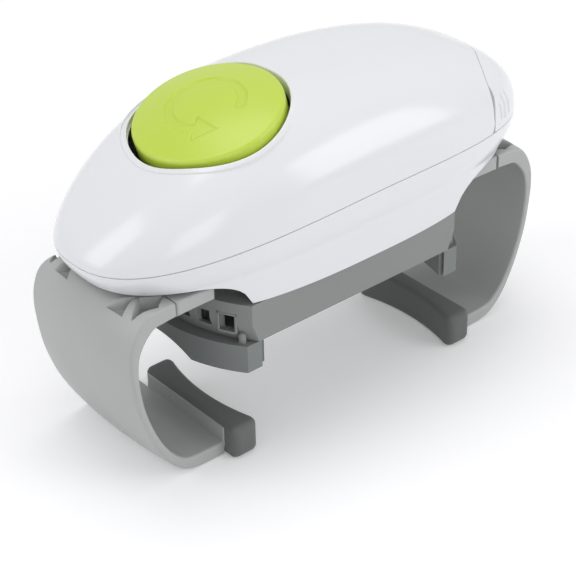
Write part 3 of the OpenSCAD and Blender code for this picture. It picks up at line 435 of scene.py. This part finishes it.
class OPENER_OT_housing(bpy.types.Operator):
    """Builds the upper shell, the battery door and the lower shell as smooth walled skins"""

    bl_idname = "opener.housing"
    bl_label = "Housing"
    # top and foot of each thumb rib on the door's front flank, as turn and lift in degrees
    thumb_ribs = (((-48.8, 14), (-50.0, 3.4)), ((-45, 17), (-46.9, 2.6)), ((-41.3, 17), (-42.9, 3)))

    def execute(self, context):
        scene = context.scene
        sizes = scene.opener_housing
        form = HousingForm(sizes, scene.opener_button)
        plastic = white_abs(scene)
        self.upper_shell(form, sizes, plastic)
        self.battery_door(form, sizes, plastic)
        self.lower_shell(form, sizes, plastic)
        return {"FINISHED"}

    def upper_shell(self, form, sizes, plastic):
        lows, highs = {}, {}

        def point(u, v):
            turn = 2 * math.pi * u
            key = round(u * sizes.around)
            if key not in lows:
                lows[key] = max(form.joint_lift(turn), form.door_lift(turn, 0.0))
                highs[key] = form.hole_lift(turn)
            return form.on_dome(turn, lows[key] + (highs[key] - lows[key]) * v ** 1.5)

        bm = skin(sizes.around, 48, True, point)
        # collar that runs down inside the button's hole
        rim = [e for e in bm.edges if e.is_boundary
               and all(abs(math.hypot(v.co.x - form.hole_x, v.co.y) - form.hole) < 0.05 for v in e.verts)]
        collar = bmesh.ops.extrude_edge_only(bm, edges=rim)
        new = [g for g in collar["geom"] if isinstance(g, bmesh.types.BMVert)]
        bmesh.ops.translate(bm, vec=(0, 0, -5), verts=new)
        bmesh.ops.bevel(bm, geom=rim, offset=0.7, offset_type="OFFSET", segments=4, profile=0.5, affect="EDGES",
                        clamp_overlap=True, material=-1)
        bmesh.ops.recalc_face_normals(bm, faces=bm.faces)
        to_row(bm, sizes)
        piece = finished("upper_shell_smooth", bm, plastic, "housing", ["upper_shell"], 60)
        thicken(piece, sizes.wall, sizes.edge)

    def battery_door(self, form, sizes, plastic):
        # last turn at which the parting line still lies on the door
        last = crossing(lambda t: form.on_dome(t, 1e-4).x > form.door_edge(form.hy) + form.gap, 0.0, math.pi / 2)
        lows, highs = {}, {}

        def point(u, v):
            turn = last * (2 * u - 1) * 0.999
            key = round(u * 1000)
            if key not in lows:
                highs[key] = form.door_lift(turn, 1.0)
                lows[key] = min(form.joint_lift(turn), highs[key] * 0.9)
            return form.on_dome(turn, lows[key] + (highs[key] - lows[key]) * v ** 1.4)

        bm = skin(200, 44, False, point)
        to_row(bm, sizes)
        piece = finished("battery_door_smooth", bm, plastic, "door", ["battery_door"], 60)
        thicken(piece, sizes.wall, sizes.edge)
        for side, flank in ((1, "front"), (-1, "back")):
            for number, (top, foot) in enumerate(self.thumb_ribs, 1):
                bm = self.rib(form, [(math.radians(side * turn), math.radians(lift)) for turn, lift in (top, foot)])
                to_row(bm, sizes)
                finished(f"door_thumb_rib_{flank}_{number}", bm, plastic, "door")

    def rib(self, form, ends, width=1.3, height=0.55):
        """A slim bead that lies along the dome between two places given as turn and lift."""
        (turn_a, lift_a), (turn_b, lift_b) = ends

        def point(u, v):
            turn, lift = turn_a + (turn_b - turn_a) * v, lift_a + (lift_b - lift_a) * v
            here = form.on_dome(turn, lift)
            along = (form.on_dome(turn_b, lift_b) - form.on_dome(turn_a, lift_a)).normalized()
            out = (form.on_dome(turn + 0.01, lift) - here).cross(form.on_dome(turn, lift + 0.01) - here).normalized()
            full = math.sqrt(max(0.0, 1 - abs(2 * v - 1) ** 6))
            a = 2 * math.pi * u
            return here + along.cross(out) * (full * width / 2 * math.cos(a)) + out * (full * height * math.sin(a))

        return skin(12, 24, True, point)

    def lower_shell(self, form, sizes, plastic):
        shares = {}

        def point(u, v):
            turn = 2 * math.pi * u
            key = round(u * sizes.around)
            if key not in shares:
                shares[key] = form.cut_share(turn)
            return form.on_skirt(turn, shares[key] * v)

        bm = skin(sizes.around, 30, True, point)
        to_row(bm, sizes)
        piece = finished("lower_shell_smooth", bm, plastic, "housing", ["lower_shell"], 60)
        thicken(piece, sizes.wall, sizes.edge)

        # lip inside the joint, so that its open line stays a shadow
        def lip(u, v):
            turn = 2 * math.pi * u
            x, y = form.plan(turn, 2.6, 2.6)
            return Vector((x, y, form.seam(form.plan(turn)[0]) - 2.4 + 4 * v))

        bm = skin(144, 4, True, lip)
        to_row(bm, sizes)
        thicken(finished("lower_shell_lip", bm, plastic, "housing"), 0.9 * MM, sizes.edge)

        # rails that hold the arm tongues down, and posts that carry the guide plate
        bm = bmesh.new()
        for side in (-1, 1):
            rounded_block(bm, (97.6, 2, 1.8), (0, 16.6 * side, -17.2), 0.3)
            for x in (-26, 26):
                bmesh.ops.create_cone(bm, cap_ends=True, segments=48, radius1=3.2, radius2=3.4, depth=7.8,
                                      matrix=Matrix.Translation((x, 27 * side, -20.7)))
        to_row(bm, sizes)
        finished("lower_shell_rails", bm, plastic, "housing")

        # floor of the shell, inside its walls
        bm = bmesh.new()
        bmesh.ops.create_circle(bm, cap_ends=True, segments=144, radius=1)
        for vert in bm.verts:
            turn = math.atan2(vert.co.y, vert.co.x)
            share = (form.band + form.seam(form.plan(turn)[0])) / (form.skirt + form.seam(form.plan(turn)[0]))
            p = form.on_skirt(turn, share, 2.2)
            vert.co = (p.x, p.y, -form.band + 0.1)
        lifted = bmesh.ops.extrude_face_region(bm, geom=bm.faces[:])
        bmesh.ops.translate(bm, vec=(0, 0, 2.2),
                            verts=[g for g in lifted["geom"] if isinstance(g, bmesh.types.BMVert)])
        bmesh.ops.recalc_face_normals(bm, faces=bm.faces)
        to_row(bm, sizes)
        finished("lower_shell_floor", bm, plastic, "housing")


class OPENER_OT_button(bpy.types.Operator):
    """Builds the start button with a turning arrow sunk into its crown"""

    bl_idname = "opener.button"
    bl_label = "Start button"

    def execute(self, context):
        scene = context.scene
        sizes, button = scene.opener_housing, scene.opener_button
        radius = button.diameter / MM / 2
        edge, crown, depth, wall = 1.8, 6.0, 6.0, 2.2
        flat = radius - edge
        rise = crown - edge
        ball = (flat * flat + rise * rise) / (2 * rise)
        profile = []
        for i in range(101):
            x = flat * i / 100
            profile.append((x, edge + rise - ball + math.sqrt(ball * ball - x * x)))
        slope = math.degrees(math.asin(flat / ball))
        for i in range(9):
            a = math.radians((90 - slope) * (1 - i / 8))
            profile.append((flat + edge * math.cos(a), edge * math.sin(a)))
        profile += [(radius, -depth * 0.5), (radius, -depth), (radius - wall, -depth), (radius - wall, edge - wall),
                    (0, crown - wall - 1.6)]
        bm = bmesh.new()
        verts = [bm.verts.new((x, 0, z)) for x, z in profile]
        edges = [bm.edges.new(pair) for pair in zip(verts, verts[1:])]
        bmesh.ops.spin(bm, geom=verts + edges, cent=(0, 0, 0), axis=(0, 0, 1), angle=2 * math.pi, steps=360,
                       use_merge=True, use_duplicate=False)
        bmesh.ops.remove_doubles(bm, verts=bm.verts, dist=1e-4)
        bmesh.ops.recalc_face_normals(bm, faces=bm.faces)
        for vert in bm.verts:
            if vert.co.z > -0.5 and math.hypot(vert.co.x, vert.co.y) < radius - 2:
                vert.co.z -= button.depth / MM * self.sunk(vert.co.x, vert.co.y, button.groove / MM / 2)
        bmesh.ops.rotate(bm, cent=(0, 0, 0), matrix=Matrix.Rotation(-button.slope, 3, "Y"), verts=bm.verts)
        bmesh.ops.translate(bm, vec=(-button.offset / MM, 0, button.height / MM), verts=bm.verts)
        to_row(bm, sizes)
        finished("start_button_engraved", bm, lime_abs(scene), "button", ["start_button"], 50)
        return {"FINISHED"}

    @staticmethod
    def sunk(x, y, half):
        """Share of the groove's depth at a point: an open ring that ends in an arrowhead."""
        ring, start, end = 13.5, math.radians(-60), math.radians(215)
        angle = math.atan2(y, x)
        if angle < start:
            angle += 2 * math.pi
        middle = (start + end) / 2
        r = math.hypot(x, y)
        if abs(angle - middle) <= (end - start) / 2:
            off = abs(r - ring) - half
        else:
            tip = min((math.hypot(x - ring * math.cos(a), y - ring * math.sin(a)) for a in (start, end)))
            off = tip - half
        # arrowhead: a triangle whose base lies across the ring's end
        hx, hy = ring * math.cos(end), ring * math.sin(end)
        along = (x - hx) * -math.sin(end) + (y - hy) * math.cos(end)
        across = abs((x - hx) * math.cos(end) + (y - hy) * math.sin(end))
        head_long, head_half = 8.0, 5.2
        lean = math.hypot(head_long, head_half)
        head = max(-along - 0.5, (along * head_half + (across - head_half) * head_long) / lean)
        off = min(off, head)
        share = min(1.0, max(0.0, 0.5 - off / 0.7))
        return share * share * (3 - 2 * share)


class ArmForm:
    """The bent strip of the right jar arm, in millimetres from the parting line."""

    front, back, root_back = -31.5, 29.5, 31.5
    crown, edge, shoulder = 2.2, 1.2, 9.0
    # the root's square section turns into the bowed strip between these
    start_x, full_x = 80.0, 88.0
    # below leg_z it is the foot, where the bow fades out from bow_x over bow_run
    leg_z, bow_x, bow_run = -60, 64, 12
    # outer face from the root round to the foot, with the wall at each place
    knots = [(79.6, -18.5, 5.8), (84.5, -18.5, 6.2), (89.5, -18.9, 6.4), (93.2, -20.9, 6.3), (96.6, -25.2, 5.6),
             (99.0, -31.0, 4.6), (99.8, -37.5, 3.8), (99.3, -45.5, 3.2), (97.5, -57.2, 3.0), (93.9, -68.9, 3.0),
             (90.1, -77.5, 3.2), (86.0, -84.5, 3.8), (80.7, -90.0, 4.6), (75.0, -92.6, 5.6), (69.0, -93.2, 5.8),
             (61.2, -93.2, 5.8)]
    # pockets cut only the face above pocket_low, and their walls lean over this width
    pocket_depth, pocket_low, pocket_lean = 4.6, -30, 0.9
    # corners of the two pockets at the front, which are repeated at the back
    pockets = [[(95.5, -13.5), (88.0, -18.5), (95.0, -21.0)],
               [(86.5, -20.5), (80.8, -24.6), (85.5, -28.8), (94.0, -26.0)]]
    # spacing of the stations, fine as far as the knot after the pockets
    fine, coarse, fine_knots = 0.4, 1.2, 4
    # lip along the pad's back, sunk into it: size, middle and rounding
    lip_size, lip_at, lip_edge = (2.6, 47, 9.2), (60.0, -7.9, -85.6), 0.4

    def __init__(self):
        self.middle = (self.front + self.back) / 2
        self.foot_z = self.knots[-1][1]
        self.stations = self.walk()
        self.round = self.around()

    def walk(self):
        """Places along the outer face, close together where the pockets are."""
        k = [Vector(knot) for knot in self.knots]
        k = [2 * k[0] - k[1], *k, 2 * k[-1] - k[-2]]
        line = []
        for i in range(1, len(k) - 2):
            step = self.fine if i <= self.fine_knots else self.coarse
            count = max(2, math.ceil((k[i + 1] - k[i]).length / step))
            for j in range(count + (i == len(k) - 3)):
                t = j / count
                line.append(0.5 * (2 * k[i] + (k[i + 1] - k[i - 1]) * t
                                   + (2 * k[i - 1] - 5 * k[i] + 4 * k[i + 1] - k[i + 2]) * t * t
                                   + (3 * k[i] - k[i - 1] - 3 * k[i + 1] + k[i + 2]) * t ** 3))
        return line

    def around(self):
        """Places round the strip's section: face, share across, and turn round a corner."""
        wide, thick, turns = 150, 24, 5
        out = [("outer", i / wide, 0.0) for i in range(wide)]
        out += [("outer", 1.0, math.pi / 2 * i / turns) for i in range(turns)]
        out += [("inner", 1.0, math.pi / 2 * (1 - i / turns)) for i in range(turns)]
        out += [("inner", 1 - i / thick, 0.0) for i in range(thick)]
        out += [("inner", 0.0, math.pi / 2 * i / turns) for i in range(turns)]
        out += [("outer", 0.0, math.pi / 2 * (1 - i / turns)) for i in range(turns)]
        return out

    def point(self, u, v):
        """Point of the strip at a share round its section and a share along it."""
        row = min(len(self.stations) - 1, round(v * (len(self.stations) - 1)))
        here = self.stations[row]
        ahead = self.stations[min(row + 1, len(self.stations) - 1)] - self.stations[max(row - 1, 0)]
        out = Vector((-ahead.y, ahead.x)).normalized()
        side, share, turn = self.round[round(u * len(self.round)) % len(self.round)]
        wall = here.z
        r = min(self.edge, wall / 2)
        full = ease((here.x - self.start_x) / (self.full_x - self.start_x)) if here.y > self.leg_z else 1.0
        back = self.root_back + (self.back - self.root_back) * full
        beyond = (2 * share - 1) * r * math.sin(turn) * (share in (0, 1))
        y = self.front + r + (back - self.front - 2 * r) * share + beyond
        deep = r - r * math.cos(turn)
        deep = deep if side == "outer" else wall - deep
        x, z = here.x - out.x * deep, here.y - out.y * deep
        # rear shoulder: a quarter round seen from the end
        low = self.knots[0][1] - self.shoulder
        if z > low and y > self.middle:
            rest = math.sqrt(max(0.0, self.shoulder ** 2 - (z - low) ** 2)) - self.shoulder
            y += full * rest * (y - self.middle) / (back - self.middle)
        foot = ease((here.x - self.bow_x) / self.bow_run) if here.y < self.leg_z else 1.0
        x += self.crown * full * foot * (1 - min(1.0, ((y - self.middle) / (self.back - self.middle)) ** 2))
        if side == "outer" and z > self.pocket_low:
            floor = min(z, self.knots[0][1] - self.pocket_depth)
            z += (floor - z) * self.sunk(x, y)
        return Vector((x, y, max(z, self.foot_z)))

    def sunk(self, x, y):
        """Share of the pockets' depth at a point of the arm's upper face."""
        y = min(y, 2 * self.middle - y)
        return max(ease(0.5 + inside(corners, x, y) / self.pocket_lean) for corners in self.pockets)


class OPENER_OT_arms(bpy.types.Operator):
    """Builds both jar arms: the CAD's tongue and rack with rounded edges, and the bent strip with its pockets"""

    bl_idname = "opener.arms"
    bl_label = "Jar arms"
    # the CAD's arm is kept up to root_end from the middle and above root_low; edges beyond rim_y are rounded
    root_end, root_low, rim_y, bare = 79.6, 40, 31, 0.2

    def execute(self, context):
        nylon = arm_nylon(context.scene)
        sizes = context.scene.opener_housing
        form = ArmForm()
        for side, way in (("left", -1), ("right", 1)):
            softened(f"arm_{side}", f"arm_{side}_root", nylon, f"{side}_arm", form.edge,
                     lambda p: abs(p.x) < self.root_end - self.bare and abs(p.y) > self.rim_y, trim=self.trim)
            bm = skin(len(form.round), len(form.stations) - 1, True, form.point)
            bmesh.ops.holes_fill(bm, edges=[e for e in bm.edges if e.is_boundary], sides=0)
            rounded_block(bm, form.lip_size, form.lip_at, form.lip_edge)
            bmesh.ops.scale(bm, vec=(way, 1, 1), verts=bm.verts)
            bmesh.ops.recalc_face_normals(bm, faces=bm.faces)
            to_row(bm, sizes)
            piece = finished(f"arm_{side}_strip", bm, nylon, f"{side}_arm", sharp=40)
            piece.modifiers.new("Normals", "WEIGHTED_NORMAL").keep_sharp = True
        return {"FINISHED"}

    def trim(self, bm):
        """Leaves the tongue and the rack of an arm's copy, closed where the strip takes over."""
        for way in (-1, 1):
            bmesh.ops.bisect_plane(bm, geom=bm.verts[:] + bm.edges[:] + bm.faces[:], dist=1e-7, clear_outer=True,
                                   plane_co=(way * self.root_end * MM, 0, 0), plane_no=(way, 0, 0))
        low = [v for v in bm.verts if v.co.z < self.root_low * MM]
        bmesh.ops.delete(bm, geom=low, context="VERTS")
        bmesh.ops.holes_fill(bm, edges=[e for e in bm.edges if e.is_boundary], sides=0)


class OPENER_OT_pads(bpy.types.Operator):
    """Builds the rubber jar pads, whose faces are hollowed for the jar"""

    bl_idname = "opener.pads"
    bl_label = "Jar pads"
    # in millimetres from the axis and the parting line; shorter and lower than the CAD's pads, as photographed
    ends, back, face, low, high = (-38.0, 18.0), 60.9, 49.6, -93.1, -79.1
    hollow, hollow_r, edge, end_edge = 3.4, 84.4, 2.0, 3.2
    # points round the section and along the pad
    around, along = 48, 90

    def execute(self, context):
        rubber = grip_rubber(context.scene)
        sizes = context.scene.opener_housing
        for side, way in (("left", -1), ("right", 1)):
            bm = skin(self.around, self.along, True, self.point)
            bmesh.ops.holes_fill(bm, edges=[e for e in bm.edges if e.is_boundary], sides=0)
            bmesh.ops.scale(bm, vec=(way, 1, 1), verts=bm.verts)
            bmesh.ops.recalc_face_normals(bm, faces=bm.faces)
            to_row(bm, sizes)
            finished(f"arm_pad_{side}_rounded", bm, rubber, f"{side}_arm", [f"arm_pad_{side}"], 45)
        return {"FINISHED"}

    def point(self, u, v):
        """Point of the right pad at a share round its section and a share along it."""
        first, last = self.ends
        y = first + (last - first) * (0.5 - 0.5 * math.cos(math.pi * v))
        near = max(0.0, self.end_edge - min(y - first, last - y))
        inset = self.end_edge - math.sqrt(max(0.0, self.end_edge ** 2 - near ** 2))
        middle = (first + last) / 2
        dip = self.hollow - self.hollow_r + math.sqrt(self.hollow_r ** 2 - (y - middle) ** 2)
        face = self.face + max(0.0, dip)
        # rounded rectangle round the pad's section
        half_x, half_z = (self.back - face) / 2 - inset, (self.high - self.low) / 2 - inset
        side, along = divmod(u * 4, 1)
        corner = min(self.edge, half_x, half_z)
        a = math.pi / 2 * (side + along)
        cx = (half_x - corner) * math.copysign(1, math.cos(a + 1e-9))
        cz = (half_z - corner) * math.copysign(1, math.sin(a + 1e-9))
        return Vector(((self.back + face) / 2 + cx + corner * math.cos(a), y,
                       (self.low + self.high) / 2 + cz + corner * math.sin(a)))


class OPENER_OT_turntable(bpy.types.Operator):
    """Rounds the turntable, gives its cover the same plastic, and frames the windows in its ends"""

    bl_idname = "opener.turntable"
    bl_label = "Turntable"

    def execute(self, context):
        plastic = table_abs(context.scene)
        softened("turntable", "turntable_rounded", plastic, "table", 0.6)
        sizes = context.scene.opener_housing
        for end, turned in (("left", 180), ("right", 0)):
            for side, flank in ((-1, "front"), (1, "back")):
                bm = self.window_frame(side)
                bmesh.ops.rotate(bm, cent=(0, 0, 0), matrix=Matrix.Rotation(math.radians(turned), 3, "Z"),
                                 verts=bm.verts)
                to_row(bm, sizes)
                finished(f"turntable_window_frame_{end}_{flank}", bm, plastic, "table")
        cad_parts["table_cover"].data.materials.clear()
        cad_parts["table_cover"].data.materials.append(plastic)
        return {"FINISHED"}

    def window_frame(self, side):
        """Raised frame round the outermost window of an end, with the stop that hangs below it."""
        radius, width, middle_y, middle_z, height = 62.3, 5.8, 28.6, -38.4, 6.6
        turn = math.asin(middle_y / radius) * side
        bm = bmesh.new()
        bar, proud = 1.1, 0.9
        for way in (-1, 1):
            rounded_block(bm, (proud, bar, height + 2 * bar), (0, way * (width + bar) / 2, 0), 0.3)
            rounded_block(bm, (proud, width + 2 * bar, bar), (0, 0, way * (height + bar) / 2), 0.3)
        # stop for the jaw: a small tongue with a rounded foot
        rounded_block(bm, (2.4, 3.0, 6.0), (-0.9, side * 5.4, -6.6), 1.1)
        at = Matrix.Rotation(turn, 4, "Z") @ Matrix.Translation((radius - 0.1, 0, middle_z))
        bmesh.ops.transform(bm, matrix=at, verts=bm.verts)
        return bm


class OPENER_OT_jaws(bpy.types.Operator):
    """Rounds the lid jaws and their rubber faces"""

    bl_idname = "opener.jaws"
    bl_label = "Lid jaws"

    def execute(self, context):
        nylon, rubber = jaw_nylon(context.scene), grip_rubber(context.scene)
        for side in ("left", "right"):
            softened(f"lid_jaw_{side}", f"lid_jaw_{side}_rounded", nylon, f"jaw_{side}", 0.7)
            softened(f"lid_rubber_{side}", f"lid_rubber_{side}_rounded", rubber, f"jaw_{side}", 0.4)
            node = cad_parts[f"jaw_rack_{side}"]
            node.data.materials.clear()
            node.data.materials.append(nylon)
        return {"FINISHED"}


class OPENER_OT_inside(bpy.types.Operator):
    """Gives the pieces inside the housing their materials"""

    bl_idname = "opener.inside"
    bl_label = "Inside pieces"

    def execute(self, context):
        # Natural acetal, cut or moulded: waxy off-white with soft gloss
        acetal = moulded("Acetal_moulded_natural", linear("E2DDCC"), 0.35, 0.8, 0.01, 0.03)
        # Plain grey ABS of inner parts, from an unpolished tool
        plain = moulded("ABS_moulded_plain_grey", linear("C9CCD0"), 0.5, 0.6, 0.03, 0.03)
        black = moulded("Phenolic_moulded_black", linear("2B2C2E"), 0.5, 0.5, 0.02, 0.05)
        red = moulded("Acetal_moulded_red", linear("C23A2E"), 0.35, 0.5, 0.01, 0.03)
        # Green solder mask over glass laminate: its weave shows as a fine grain
        board = moulded("Laminate_coated_green", linear("2A5F3D"), 0.3, 0.4, 0.02, 0.12, {"Coat Weight": 0.5})
        # Printed shrink film over a steel can
        film = moulded("Film_shrunk_blue", linear("32607F"), 0.22, 1.2, 0.01, 0.05, {"Coat Weight": 0.6})
        steel = drawn_metal("Steel_drawn_bright", linear("B9BCC0"), 0.28, 0.3)
        brass = drawn_metal("Brass_turned", linear("D0A85C"), 0.25, 0.25)
        finish = {
            "button_spring": steel, "switch_body": black, "switch_plunger": red, "control_board": board,
            "board_frame": plain, "gear_plate": plain, "plate_screws": steel, "motor": steel, "motor_pinion": brass,
            "first_gear": acetal, "second_gear": acetal, "output_gear": acetal, "gear_axles": steel,
            "spindle_bush": brass, "spindle": steel, "spindle_clip": steel, "thrust_washer": acetal,
            "arm_pinion": acetal, "guide_plate": plain, "guide_screws": steel, "cover_screws": steel,
            "jaw_pinion": acetal, "battery_tray": plain, "battery_a": film, "battery_b": film,
            "cell_contacts": steel, "door_contact": steel,
        }
        for name, material in finish.items():
            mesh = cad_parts[name].data
            mesh.materials.clear()
            mesh.materials.append(material)
        return {"FINISHED"}


class OPENER_OT_stage(bpy.types.Operator):
    """Makes the pale floor, the soft boxes, the world and the camera at the photograph's angle"""

    bl_idname = "opener.stage"
    bl_label = "Stage"

    def execute(self, context):
        scene = context.scene
        self.camera(scene)
        self.floor(scene)
        self.lights(scene)
        scene.view_settings.view_transform = "Standard"
        return {"FINISHED"}

    def camera(self, scene):
        azimuth, elevation, roll = (math.radians(a) for a in (-39.71, 32.59, -1.12))
        back = Vector((math.sin(azimuth) * math.cos(elevation), -math.cos(azimuth) * math.cos(elevation),
                       math.sin(elevation)))
        right = (-back).cross(Vector((0, 0, 1))).normalized()
        up = right.cross(-back)
        right, up = (math.cos(roll) * right + math.sin(roll) * up, math.cos(roll) * up - math.sin(roll) * right)
        data = bpy.data.cameras.new("photo_camera")
        data.lens, data.sensor_width, data.clip_start, data.clip_end = 115.91, 36, 0.05, 20
        camera = bpy.data.objects.new("photo_camera", data)
        turned = Matrix((right, up, back)).transposed().to_4x4()
        camera.matrix_world = Matrix.Translation((-0.3921, -0.4687, 0.4230)) @ turned
        scene.collection.objects.link(camera)
        scene.camera = camera

    def floor(self, scene):
        bm = bmesh.new()
        bmesh.ops.create_grid(bm, x_segments=8, y_segments=8, size=4)
        mesh = bpy.data.meshes.new("floor")
        bm.to_mesh(mesh)
        bm.free()
        floor = bpy.data.objects.new("floor", mesh)
        scene.collection.objects.link(floor)
        # Matt painted board: white to the camera and in reflections, and it keeps the opener's shadow
        material = bpy.data.materials.new("Board_painted_white")
        material.use_nodes = True
        tree = material.node_tree
        tree.nodes.clear()
        place = add(tree, "ShaderNodeTexCoord")
        tooth = add(tree, "ShaderNodeTexNoise", {"Scale": 1 / (2 * MM)}, {"Vector": place.outputs["Object"]})
        bump = add(tree, "ShaderNodeBump", {"Strength": 0.1, "Distance": 0.05 * MM}, {"Height": tooth.outputs["Fac"]})
        paint = add(tree, "ShaderNodeBsdfPrincipled", {"Base Color": (*linear("F4F4F6"), 1), "Roughness": 0.7},
                    {"Normal": bump.outputs["Normal"]})
        ray = add(tree, "ShaderNodeLightPath")
        seen = add(tree, "ShaderNodeMath", {"operation": "MAXIMUM"},
                   {0: ray.outputs["Is Camera Ray"], 1: ray.outputs["Is Glossy Ray"]})
        seen = add(tree, "ShaderNodeMath", {"operation": "MAXIMUM"},
                   {0: seen.outputs[0], 1: ray.outputs["Is Transmission Ray"]})
        level = add(tree, "ShaderNodeMath", {"operation": "MULTIPLY", 1: 0.19}, {0: seen.outputs[0]})
        glow = add(tree, "ShaderNodeEmission", {"Color": (1, 1, 1, 1)}, {"Strength": level.outputs[0]})
        both = add(tree, "ShaderNodeAddShader", links={0: paint.outputs["BSDF"], 1: glow.outputs["Emission"]})
        add(tree, "ShaderNodeOutputMaterial", links={"Surface": both.outputs["Shader"]})
        mesh.materials.append(material)

    def lights(self, scene):
        # name, place, aim, width, height, watts
        boxes = [
            ("softbox_left", (-1.5, 0.7, 1.1), (-0.03, 0, 0.11), 0.9, 1.3, 7.3),
            ("softbox_top", (0.1, 0.2, 1.7), (0, 0, 0.1), 1.1, 1.1, 8.2),
            ("softbox_right", (1.0, -1.3, 0.8), (0, 0, 0.08), 1.0, 1.0, 7),
            ("softbox_front", (-0.7, -1.6, 0.7), (0, 0, 0.06), 0.8, 0.8, 3.4),
        ]
        for name, place, aim, width, height, watts in boxes:
            data = bpy.data.lights.new(name, "AREA")
            data.shape, data.size, data.size_y, data.energy = "RECTANGLE", width, height, watts
            light = bpy.data.objects.new(name, data)
            light.location = place
            light.rotation_euler = (Vector(aim) - Vector(place)).to_track_quat("-Z", "Y").to_euler()
            scene.collection.objects.link(light)
        world = bpy.data.worlds.new("studio")
        world.use_nodes = True
        tree = world.node_tree
        tree.nodes.clear()
        ray = add(tree, "ShaderNodeLightPath")
        seen = add(tree, "ShaderNodeMath", {"operation": "MAXIMUM"},
                   {0: ray.outputs["Is Camera Ray"], 1: ray.outputs["Is Glossy Ray"]})
        seen = add(tree, "ShaderNodeMath", {"operation": "MAXIMUM"},
                   {0: seen.outputs[0], 1: ray.outputs["Is Transmission Ray"]})
        level = add(tree, "ShaderNodeMapRange", {"To Min": 0.48, "To Max": 0.85}, {"Value": seen.outputs[0]})
        sky = add(tree, "ShaderNodeBackground", {"Color": (1, 1, 1, 1)}, {"Strength": level.outputs["Result"]})
        add(tree, "ShaderNodeOutputWorld", links={"Surface": sky.outputs["Background"]})
        scene.world = world


OPERATORS = (OPENER_OT_stage, OPENER_OT_inside, OPENER_OT_housing, OPENER_OT_button, OPENER_OT_arms, OPENER_OT_pads,
             OPENER_OT_turntable, OPENER_OT_jaws)


class OPENER_PT_panel(bpy.types.Panel):
    """Lists the opener's pieces and their sizes"""

    bl_idname = "OPENER_PT_panel"
    bl_label = "Jar opener"
    bl_space_type = "VIEW_3D"
    bl_region_type = "UI"
    bl_category = "Jar opener"

    def draw(self, context):
        for group in (context.scene.opener_housing, context.scene.opener_button, context.scene.opener_colours):
            box = self.layout.box()
            for name in group.bl_rna.properties.keys():
                if name not in {"rna_type", "name"}:
                    box.prop(group, name)
        for operator in OPERATORS:
            self.layout.operator(operator.bl_idname)


CLASSES = (HousingSizes, ButtonSizes, Colours, *OPERATORS, OPENER_PT_panel)


def register():
    for cls in CLASSES:
        bpy.utils.register_class(cls)
    bpy.types.Scene.opener_housing = PointerProperty(type=HousingSizes)
    bpy.types.Scene.opener_button = PointerProperty(type=ButtonSizes)
    bpy.types.Scene.opener_colours = PointerProperty(type=Colours)


def unregister():
    del bpy.types.Scene.opener_housing, bpy.types.Scene.opener_button, bpy.types.Scene.opener_colours
    for cls in reversed(CLASSES):
        bpy.utils.unregister_class(cls)


def main():
    register()
    for operator in OPERATORS:
        getattr(bpy.ops.opener, operator.bl_idname.split(".")[1])()


if __name__ == "__main__":
    main()
